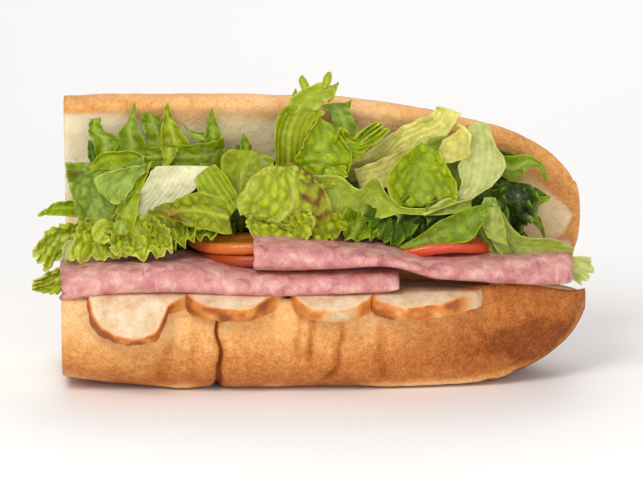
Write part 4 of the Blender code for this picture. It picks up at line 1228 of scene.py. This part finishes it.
# %% Endive
endive = [
    leaf(edge(3, 9, (-92, 86), (-93, 93), (-95, 97), (-94, 102)),
         edge(3, 9, (-84, 88), (-83, 94), (-89, 98), (-90, 103)), DARK, cup=50, seed=1),
    leaf(edge(4, 7, (-92, 82), (-95, 87), (-95, 94)), edge(4, 7, (-88, 84), (-91, 88), (-94, 94)), DEEP,
         ruffle=0.8, seed=3),
    leaf(edge(5, 9, (-83, 86), (-83, 96), (-79, 102), (-77, 108)),
         edge(5, 9, (-70, 88), (-74, 97), (-76, 103), (-76, 109)), DARK, cup=50, ruffle=0.9, seed=4),
    leaf(edge(7, 10, (-70, 87), (-72, 96), (-74, 103), (-71, 105)),
         edge(7, 10, (-61, 89), (-62, 96), (-65, 101), (-70, 105)), DARK, ruffle=1.4, seed=5),
    leaf(edge(6, 8, (-66, 88), (-66, 98), (-65, 104), (-64, 108)),
         edge(6, 8, (-53, 90), (-57, 97), (-61, 102), (-63, 109)), OLIVE, cup=50, ruffle=0.9, rib=1,
         seed=6),
    leaf(edge(7, 8, (-55, 89), (-49, 93), (-48, 99), (-46, 106)),
         edge(7, 8, (-40, 87), (-41, 93), (-43, 99), (-45.5, 107)), DARK, cup=50, ruffle=0.9, seed=8),
    leaf(edge(4, 6, (-71, 91), (-59, 92), (-48, 93), (-41, 95)),
         edge(3, 5, (-71, 83), (-58, 82), (-48, 82), (-40, 82)), DARK, cup=30, ruffle=1.2, seed=9),
    leaf(edge(2, -2, (-59, 91), (-61, 86), (-64, 82), (-66, 78)),
         edge(2, -2, (-66, 91), (-65, 86), (-66, 82), (-67, 78)), BRIGHT, cup=60, ruffle=0.6, seed=10),
    leaf(edge(7, 8, (-48, 92), (-53, 95), (-57, 100)), edge(7, 8, (-49, 97), (-54, 98), (-57, 100.5)),
         DARK, ruffle=0.5, seed=7),
    leaf([(-29, 84, 8), (-32, 91, 9), (-33, 97, 9)], 5, DARK, cup=40, point=1, ruffle=0.5, seed=11),
    leaf([(-32, 86, 8), (-34, 90, 9), (-36, 92, 9)], 4, DEEP, cup=40, point=1, ruffle=0.5, seed=24),
    leaf(edge(-2, -2, (-20, 80), (-21, 94), (-20, 102), (-17, 108)),
         edge(-2, -2, (-9, 80), (-8, 94), (-5, 101), (-1, 106)), OLIVE, cup=60, ruffle=0.5, blister=0.1,
         ribs=0.25, seed=12),
    leaf(edge(-2, -3, (-17, 104), (-14, 111), (-8, 115), (-2, 117), (2, 116)),
         edge(-2, -3, (-8, 104), (-3, 107), (0, 110), (3, 111), (4, 114)), FRILLY, cup=30, ruffle=0.8,
         blister=0.15, rib=0.3, seed=13),
    leaf(edge(-3, -3, (-9.2, 113), (-10.8, 117), (-10, 119.5)),
         edge(-3, -3, (-6.4, 114), (-7.4, 117), (-9, 119.5)), OLIVE, ruffle=0.3, seed=14),
    leaf(edge(-3, -3, (-1.8, 115), (-0.8, 119), (1, 121.5)),
         edge(-3, -3, (0.6, 114), (2.2, 118), (2, 121.5)), OLIVE, ruffle=0.3, seed=15),
    leaf(edge(-2, -2, (-1, 112), (2, 115), (5, 117)), edge(-2, -2, (1, 109), (3, 111), (5, 116)), DARK,
         ruffle=0.5, seed=16),
    leaf(edge(-2, -2, (-14.4, 109), (-13.4, 112), (-12, 114.5)),
         edge(-2, -2, (-11, 109), (-11.4, 112), (-12, 114.5)), DARK, ruffle=0.3, seed=25),
    leaf(edge(3, 4, (4, 92), (3, 100), (1, 105), (-3, 108)),
         edge(3, 4, (14, 94), (11, 102), (9, 106), (8, 109)), GREY, cup=50, ruffle=0.8, blister=0.2,
         rib=1, seed=17),
    leaf(edge(4, 5, (4, 106), (7, 108.5), (10, 110)), edge(4, 5, (6, 103), (9, 105), (10, 109.5)), DARK,
         ruffle=0.4, seed=18),
    leaf(edge(6, 9, (68, 88), (74, 88), (81, 88), (87, 84), (88.5, 78)),
         edge(6, 9, (69, 80), (76, 77), (80, 82), (85, 83), (88, 77)), DARK, cup=30, ruffle=0.7,
         blister=0.2, seed=19),
    leaf(edge(6, 9, (70, 78), (77, 77), (84, 75), (90, 71)),
         edge(6, 9, (70, 75), (77, 73), (84, 71), (89, 70)), DEEP, cup=50, ruffle=0.5, seed=20),
    leaf(edge(1, 3, (63, 74), (72, 75), (81, 72), (90, 71.5)),
         edge(1, 3, (64, 69), (73, 65), (80, 65), (89, 70)), DARK, cup=50, ruffle=0.9, blister=0.2,
         seed=21),
    leaf(edge(5, 8, (78, 68), (85, 64), (87, 60), (88, 55)),
         edge(5, 8, (75, 63), (81, 62), (85, 59), (87, 55)), DARK, cup=40, ruffle=0.5, seed=22),
    leaf(edge(4, 6, (76, 68), (82, 64), (78, 60), (81, 55)),
         edge(4, 6, (69, 67), (71, 61), (74, 58), (80, 55)), DEEP, cup=40, ruffle=0.9, seed=23),
]
join_leaves("endive_leaves", ENDIVE, endive)

# %% [markdown]
# Green lettuce makes most of the heap. Its leaves are blistered and glossy, with curled pale
# edges, and the broad one at the left has a brown spot.


# %% Green lettuce
def left_spot(u, v):
    """A brown spot near the edge at the upper left."""
    return 1.2 * bell(u, 0.78, 0.07) * bell(v, 0.85, 0.25)


green = [
    leaf(edge(-17, -4, (-98, 59), (-101, 70), (-104, 77), (-103, 81)),
         edge(-17, -4, (-86, 59), (-80, 68), (-74, 77), (-70, 86)), GREY, cup=45, ruffle=2.4, waves=4,
         crown=3, blister=0.7, rib=0.2, blush=(BROWN, left_spot), seed=31),
    leaf(edge(-16, -10, (-93, 78), (-86, 82), (-78, 83.5), (-71.5, 84.5)),
         edge(-20, -10, (-89, 71), (-84, 68), (-79, 74), (-72.5, 82)), SOFT, cup=60, ruffle=0.8,
         blister=0.4, rib=0.2, seed=60),
    leaf(edge(-6, -7, (-95, 83), (-89, 89), (-78, 90), (-70, 87)),
         edge(-5, -6, (-94, 82), (-86, 83), (-76, 84.5), (-69, 85)), BRIGHT, cup=70, ruffle=0.6,
         blister=0.2, seed=33),
    leaf(edge(-18, -8, (-88, 53), (-83, 67), (-79, 72), (-76, 83)),
         edge(-18, -8, (-78, 53), (-75, 67), (-73, 74), (-69.5, 85)), BRIGHT, cup=50, ruffle=0.8,
         blister=0.3, seed=32),
    leaf(edge(-6, -12, (-95, 63), (-109, 64), (-115, 63.5)),
         edge(-6, -12, (-95, 70), (-108, 69), (-115, 64)), BRIGHT, cup=50, ruffle=0.4, rib=0.9, seed=34),
    leaf(edge(-15, -10, (-40, 61), (-46, 66), (-50, 72), (-52, 78)),
         edge(-15, -10, (-34, 68), (-35, 73), (-39, 79), (-44, 84)), BRIGHT, cup=50, ruffle=0.6,
         ribs=0.35, blister=0.25, crown=1, seed=41),
    leaf(edge(-11, -3, (-38, 66), (-40, 76), (-42, 84), (-39, 89)),
         edge(-11, -3, (-30, 68), (-28, 76), (-22, 81), (-21, 86)), OLIVE, cup=45, ruffle=1.0,
         blister=0.3, crown=2, seed=42),
    leaf(edge(-8, -5, (-10, 80), (-12, 86), (-9, 93), (-3, 103)),
         edge(-10, -5, (2, 76), (8, 81), (9, 90), (2, 100)), BRIGHT, cup=80, curl=20, ruffle=2.0, waves=3,
         blister=0.8, rib=0.3, seed=45),
    lobe([(0, 82, -10), (3, 79, -13), (5, 76, -14)], 13, BRIGHT, fan=140, ruffle=1.2, waves=3,
         blister=0.5, seed=57),
    leaf(edge(-6, -4, (1, 92), (6, 99), (10, 95), (15, 98.5), (20, 101)),
         edge(-6, -4, (4, 84), (12, 87), (16, 90), (20, 93), (25, 98)), BRIGHT, end=1, ruffle=1.5,
         waves=5, blister=0.4, cup=45, seed=46),
    leaf(
         edge(-12, -12, (-4, 80), (4, 80), (10, 75.5), (14, 74.5), (17, 78), (20, 79), (23, 73),
              (29, 67), (42, 67), (58, 70.5)),
         edge(-16, -12, (-6, 62), (2, 61), (8, 60), (13, 60), (18, 62), (22, 63), (27, 64), (33, 64),
              (44, 64), (58, 66)),
         BOWL, cup=60, ruffle=0.7, blister=0.2, rib=0.1, seed=49),
    leaf(edge(-9, -6, (29, 67), (24, 76), (27, 85), (33, 90), (38, 93)),
         edge(-9, -6, (48, 67.5), (53, 71.5), (52, 77), (49, 82), (45, 89)), BRIGHT, cup=55, ruffle=0.9,
         blister=0.8, rib=0.2, seed=48),
    # Painted shade: these four lobes lie deep in a gap, and their dark colours stand for its shade.
    lobe([(16, 64, -10), (13, 60, -20), (9, 55, -24)], 17, DARK, ruffle=1.8, blister=0.6, seed=50),
    lobe([(26, 64, -8), (24, 59, -18), (21, 54, -22)], 22, DEEP, fan=160, ruffle=2.2, waves=5, seed=51),
    lobe([(40, 66, -6), (36, 62, -12), (32, 55, -16)], 20, SHADE, fan=160, ruffle=2.0, seed=58),
    lobe([(52, 68, -6), (46, 64, -10), (41, 59, -13)], 16, SHADE, ruffle=1.6, seed=59),
    leaf(edge(-24, -18, (29, 51), (38, 56), (44, 60.5), (51, 64.5), (58, 67), (63, 67.5)),
         edge(-26, -20, (30, 50.4), (42, 51), (50, 52.5), (58, 55), (62, 60), (64.5, 65)), DARK, cup=70,
         ruffle=0.6, blister=0.7, rib=0.2, seed=52),
    lobe([(94, 46, -12), (99, 44, -13), (106, 40, -12)], 12, MILKY, fan=100, waves=3, blister=0.2, cup=30,
         seed=53),
]
join_leaves("green_leaves", CRISP, green)

# %% [markdown]
# The lowest leaves hang out over the ham in short wide frills. They are blistered all over and
# their far margins ruffle, so they are a piece of their own with a finer mesh.

# %% Frilly leaves
frilly = [
    frill(edge(-12, -18, (-98, 51), (-106, 47), (-112, 41)),
          edge(-12, -18, (-98, 62), (-110, 59), (-117, 50)), FRILLY, waves=4, blister=0.8, cup=30,
          rib=0.7, seed=35),
    frill(edge(-15, -18, (-100, 34), (-110, 33), (-116.5, 34)),
          edge(-15, -18, (-100, 48), (-108, 43), (-117, 38)), FRILLY, waves=4, blister=0.8, cup=30,
          rib=0.7, seed=36),
    frill(edge(-14, -28, (-82, 63), (-79, 54), (-80, 46)),
          edge(-14, -26, (-94, 63), (-100, 56), (-102, 45)), FRILLY, ruffle=1.6, cup=40, seed=38),
    frill(edge(-14, -30, (-70, 63), (-62, 54), (-60, 47)),
          edge(-14, -30, (-83, 63), (-86, 54), (-85, 46)), FRILLY, ruffle=1.6, seed=54),
    frill(edge(-13, -29, (-54, 65), (-49, 58), (-51, 53.5)),
          edge(-13, -29, (-70, 64), (-70, 55), (-66, 49.5)), OLIVE, seed=39),
    frill(edge(-12, -26, (-44, 64), (-39, 58), (-42, 54.5)),
          edge(-12, -27, (-56, 65), (-57, 58), (-55, 54)), BRIGHT, waves=4, seed=40),
    lobe([(-84, 56, -22), (-88, 57, -27), (-91, 53, -29)], 11, FRILLY, fan=140, waves=3, blister=0.6,
         seed=37),
    lobe([(-79, 60, -24), (-81, 59, -28), (-82, 56, -29)], 7, GREY, fan=140, ruffle=0.8, waves=3,
         blister=0.4, seed=55),
    frill(edge(-18, -26, (-10, 68), (-4, 60), (-6, 53)), edge(-18, -28, (-28, 66), (-31, 58), (-27, 52)),
          FRILLY, ruffle=1.3, seed=44),
    frill(edge(-18, -26, (4, 64), (8, 58), (4, 54)), edge(-18, -26, (-12, 68), (-14, 60), (-9, 53)),
          OLIVE, ruffle=1.2, waves=4, seed=56),
]
join_leaves("frilly_leaves", CRISP, frilly)

# %% [markdown]
# The pale leaves come from inside the head: smooth, stiff and almost white at the rib. Two of
# them lean on the lid, one folds round like a bowl, and one lies flat at the left.

# %% Pale leaves
pale = [
    leaf(edge(-13, -7, (-76, 61), (-75, 70), (-72, 78), (-69, 83)),
         edge(-13, -7, (-69, 61), (-61, 67), (-52, 74), (-50, 78), (-45, 83)), PALE, cup=20, ruffle=0.5,
         blister=0.12, rib=0.1, ribs=0.12, crown=0.8, seed=61),
    leaf(edge(3, 2, (8, 84), (20, 91.5), (28, 98), (36, 102), (42, 104.5), (44.5, 108)),
         edge(3, 2, (10, 75), (23, 78), (30, 87), (40, 92), (47, 95), (54, 104.5)), YELLOW, cup=30,
         ruffle=1.1, blister=0.25, rib=0.1, ribs=0.2, seed=62),
    leaf(edge(-3, 0, (11, 82), (24, 87), (38, 94)), edge(-5, -2, (14, 73), (26, 76), (39, 91)), YELLOW,
         cup=30, ruffle=1.0, blister=0.25, rib=0.1, ribs=0.15, seed=63),
    leaf(edge(-3, -3, (44, 88), (48, 94), (53, 97), (54, 101)),
         edge(-6, -6, (46, 84), (54, 86), (58, 89), (58, 96)), YELLOW, cup=60, ruffle=1.4, blister=0.3,
         rib=0.1, seed=64),
    leaf(edge(-12, -1, (36, 65), (50, 69), (54, 75.5), (53, 83), (57, 91), (57, 99)),
         edge(-14, -1, (40, 63.5), (59, 70), (67, 76), (71.5, 83.5), (68, 91), (65, 100)), MILKY, cup=60,
         ruffle=1.2, waves=4, blister=0.25, rib=0.1, ribs=0.15, crown=1.5, seed=65),
    leaf(edge(0, 2, (32, 70), (36, 84), (42, 95)), edge(-3, 0, (56, 70), (58, 84), (59, 97)), OLD_PALE,
         cup=40, ruffle=0.6, blister=0.15, rib=0.1, seed=70),
    leaf(edge(-13, -14, (66, 48.5), (62, 56), (61, 64), (63, 71)),
         edge(-14, -14, (78, 47), (72, 56), (69, 64), (67.5, 71)), GREY, cup=40, ruffle=0.8, blister=0.3,
         rib=0.1, ribs=0.1, seed=66),
    leaf(edge(-16, -22, (69, 67), (71, 59), (72, 51)), edge(-16, -21, (64, 67), (62, 60), (64, 55)),
         OLD_PALE, cup=40, ruffle=0.9, blister=0.3, seed=69),
    leaf(edge(-14, -12, (66, 70), (73, 60.5), (79, 55.5), (89, 55), (99, 51)),
         edge(-16, -13, (64, 59), (68, 50), (74, 46.5), (84, 46), (98, 46)), OLD_PALE, cup=40, ruffle=0.8,
         blister=0.2, rib=0.1, ribs=0.1, seed=67),
    leaf([(-103, 46, -22), (-102, 50, -24), (-101, 54, -22)], 6, MILKY, cup=50, ruffle=0.4, blister=0.2,
         seed=68),
]
join_leaves("pale_leaves", SMOOTH, pale)

# %% [markdown]
# Two leaves are tipped with red-brown. The large one in the middle shows its back: a pale
# midrib, blistered green to its left and brown streaks between the veins to its right.


# %% Red-tipped leaves
def streaked_side(u, v):
    """Brown streaks over the right half and all of the very tip."""
    right = eased(-v, 0.06, 0.25) * (1 - 0.7 * eased(-v, 0.85, 1)) * eased(u, 0.15, 0.35)
    streaks = limited(0.3 + 1.1 * np.sin(48 * u + 7 * v + 1.5 * np.sin(9 * v)))
    return right * (0.22 + 0.75 * streaks) + 0.9 * eased(u + 0.1 * v**2, 0.93, 1)


def streaked_tip(u, v):
    return 0.9 * eased(u, 0.35, 0.8) * (0.4 + 0.6 * eased(v, -0.4, 0.6))


red = [
    leaf(edge(-24, -22, (-26, 63), (-36, 67), (-32, 75), (-25, 82), (-15, 84.5)),
         edge(-24, -22, (-18, 61.5), (-3, 55), (5, 60), (-1, 74), (-9, 82)), FRILLY, cup=-25, ruffle=0.9,
         waves=4, blister=1.0, rib=1.4, crown=1, blush=(BROWN, streaked_side), seed=71),
    leaf(edge(-24, -26, (-37, 56), (-48, 58), (-58, 61), (-69, 65)),
         edge(-24, -26, (-40, 70), (-52, 73), (-60, 70), (-68, 67)), OLIVE, cup=30, ruffle=1.0,
         blister=0.9, blush=(BROWN, streaked_tip), seed=72),
]
join_leaves("red_tipped_leaves", RED, red)

# %% [markdown]
# Between the leaves the heap is dark, painted shade in near-black colours. A lumpy core fills its
# middle, and a loop lays crumpled dark leaves all over it, so that every gap shows leaf behind leaf.

# %% Core and inner leaves
CORE_CENTRE, CORE_SIZE = np.array((-8, 8, 64)) * MM, np.array((88, 12, 12)) * MM
CORE_ROWS, CORE_COLUMNS, CORE_SHADE_TINT = 120, 90, (22, 32, 4)
turn = turns(CORE_COLUMNS)[None]
tilt = np.linspace(0.04, np.pi - 0.04, CORE_ROWS)[:, None]
ball = np.stack([-np.cos(tilt) + 0 * turn, np.sin(tilt) * np.cos(turn), np.sin(tilt) * np.sin(turn)], -1)
lumpy = 1 + 0.12 * soft_noise(ball * CORE_SIZE, 10 * MM, 201)
core_points = keep_clear(CORE_CENTRE + ball * CORE_SIZE * lumpy[..., None])
# The core's near-black tint is painted shade.
core_shade_tint = np.array(shown(*CORE_SHADE_TINT)) * (1 + 0.3 * soft_noise(core_points, 6 * MM, 202))[..., None]
core_values = {"leaf_tint": opaque(core_shade_tint)}
build("salad_core", core_points, capped_faces(core_points), core_values, ENDIVE, "lettuce", "lettuce")

INNER_LEAVES, INNER_START, INNER_LENGTH = 46, -88, 164
# Lowest, highest, nearest and furthest place of each layer
INNER_LAYERS = ((54, 70, -4, 0), (66, 84, 9, 14), (64, 74, 1, 8))
random = np.random.default_rng(11)
inner = []
for place in range(INNER_LEAVES):
    x = INNER_START + INNER_LENGTH * (place + random.uniform(-0.3, 0.3)) / (INNER_LEAVES - 1)
    lowest, highest, nearest, furthest = INNER_LAYERS[place % len(INNER_LAYERS)]
    up, deep = random.uniform(lowest, highest), random.uniform(nearest, furthest)
    lean, reach = random.uniform(-10, 10), random.uniform(12, 18)
    foot = (x - lean / 2, up - reach / 2, deep + 4)
    tip = (x + lean / 2, up + reach / 2, deep + 1)
    # Their dark colours are painted shade inside the heap.
    kind = (SHADE, SHADE, DEEP)[int(random.integers(0, 3))]
    wide = random.uniform(14, 22)
    inner.append(leaf([foot, (x, up, deep - 2), tip], wide, kind, ruffle=2.4, blister=0.6, coarse=1.5,
                      seed=210 + place))
join_leaves("inner_leaves", CRISP, inner)

# %% [markdown]
# A pale floor and three soft lamps, as for a product picture: the main one from the upper left, a
# fill from the right and one from behind. The camera is far away with a long lens, tilted down
# by 14 degrees.

# %% Floor, light and camera
FLOOR_HALF = 3.0
VIEW_DISTANCE = 4.0
VIEW_TARGET = Vector((-1.8 * MM, 0, 55.6 * MM))
FIELD_WIDTH = 257.2 * MM
SENSOR_WIDTH = 36
WORLD_LIGHT = 0.5

floor_finish = Finish("pale_floor", Roughness=0.7, Specular_IOR_Level=0.2)
cloud = floor_finish.noise(0.5, 2)
floor_finish.drive(Base_Color=floor_finish.mix(cloud, shown(247, 246, 244), shown(251, 250, 249)))
floor_mesh = bpy.data.meshes.new("floor")
corners = [(x * FLOOR_HALF, y * FLOOR_HALF, 0) for x, y in ((-1, -1), (1, -1), (1, 1), (-1, 1))]
floor_mesh.from_pydata(corners, [], [(0, 1, 2, 3)])
floor_mesh.materials.append(floor_finish.material)
floor = bpy.data.objects.new("floor", floor_mesh)
bpy.context.scene.collection.objects.link(floor)


def soft_light(name, place, size, power):
    """A square lamp of this size in metres and power in watts that faces the sandwich."""
    light = bpy.data.lights.new(name, "AREA")
    light.shape, light.size, light.energy = "SQUARE", size, power
    lamp = bpy.data.objects.new(name, light)
    lamp.location = place
    lamp.rotation_euler = (VIEW_TARGET - Vector(place)).to_track_quat("-Z", "Y").to_euler()
    bpy.context.scene.collection.objects.link(lamp)


soft_light("key", (-0.40, -0.80, 0.85), 0.5, 7.5)
soft_light("fill", (0.4, -1.1, 0.2), 0.8, 5)
soft_light("back", (0.1, 0.9, 0.9), 0.8, 5)
world = bpy.data.worlds.new("studio")
bpy.context.scene.world = world
world.use_nodes = True
world.node_tree.nodes["Background"].inputs["Color"].default_value = (1, 1, 1, 1)
world.node_tree.nodes["Background"].inputs["Strength"].default_value = WORLD_LIGHT
bpy.context.scene.view_settings.view_transform = "Standard"

camera_data = bpy.data.cameras.new("camera")
camera_data.sensor_width = SENSOR_WIDTH
camera_data.lens = SENSOR_WIDTH * VIEW_DISTANCE / FIELD_WIDTH
camera = bpy.data.objects.new("camera", camera_data)
away = Vector((0, -math.cos(VIEW_TILT), math.sin(VIEW_TILT)))
camera.location = VIEW_TARGET + away * VIEW_DISTANCE
camera.rotation_euler = (math.pi / 2 - VIEW_TILT, 0, 0)
bpy.context.scene.collection.objects.link(camera)
bpy.context.scene.camera = camera
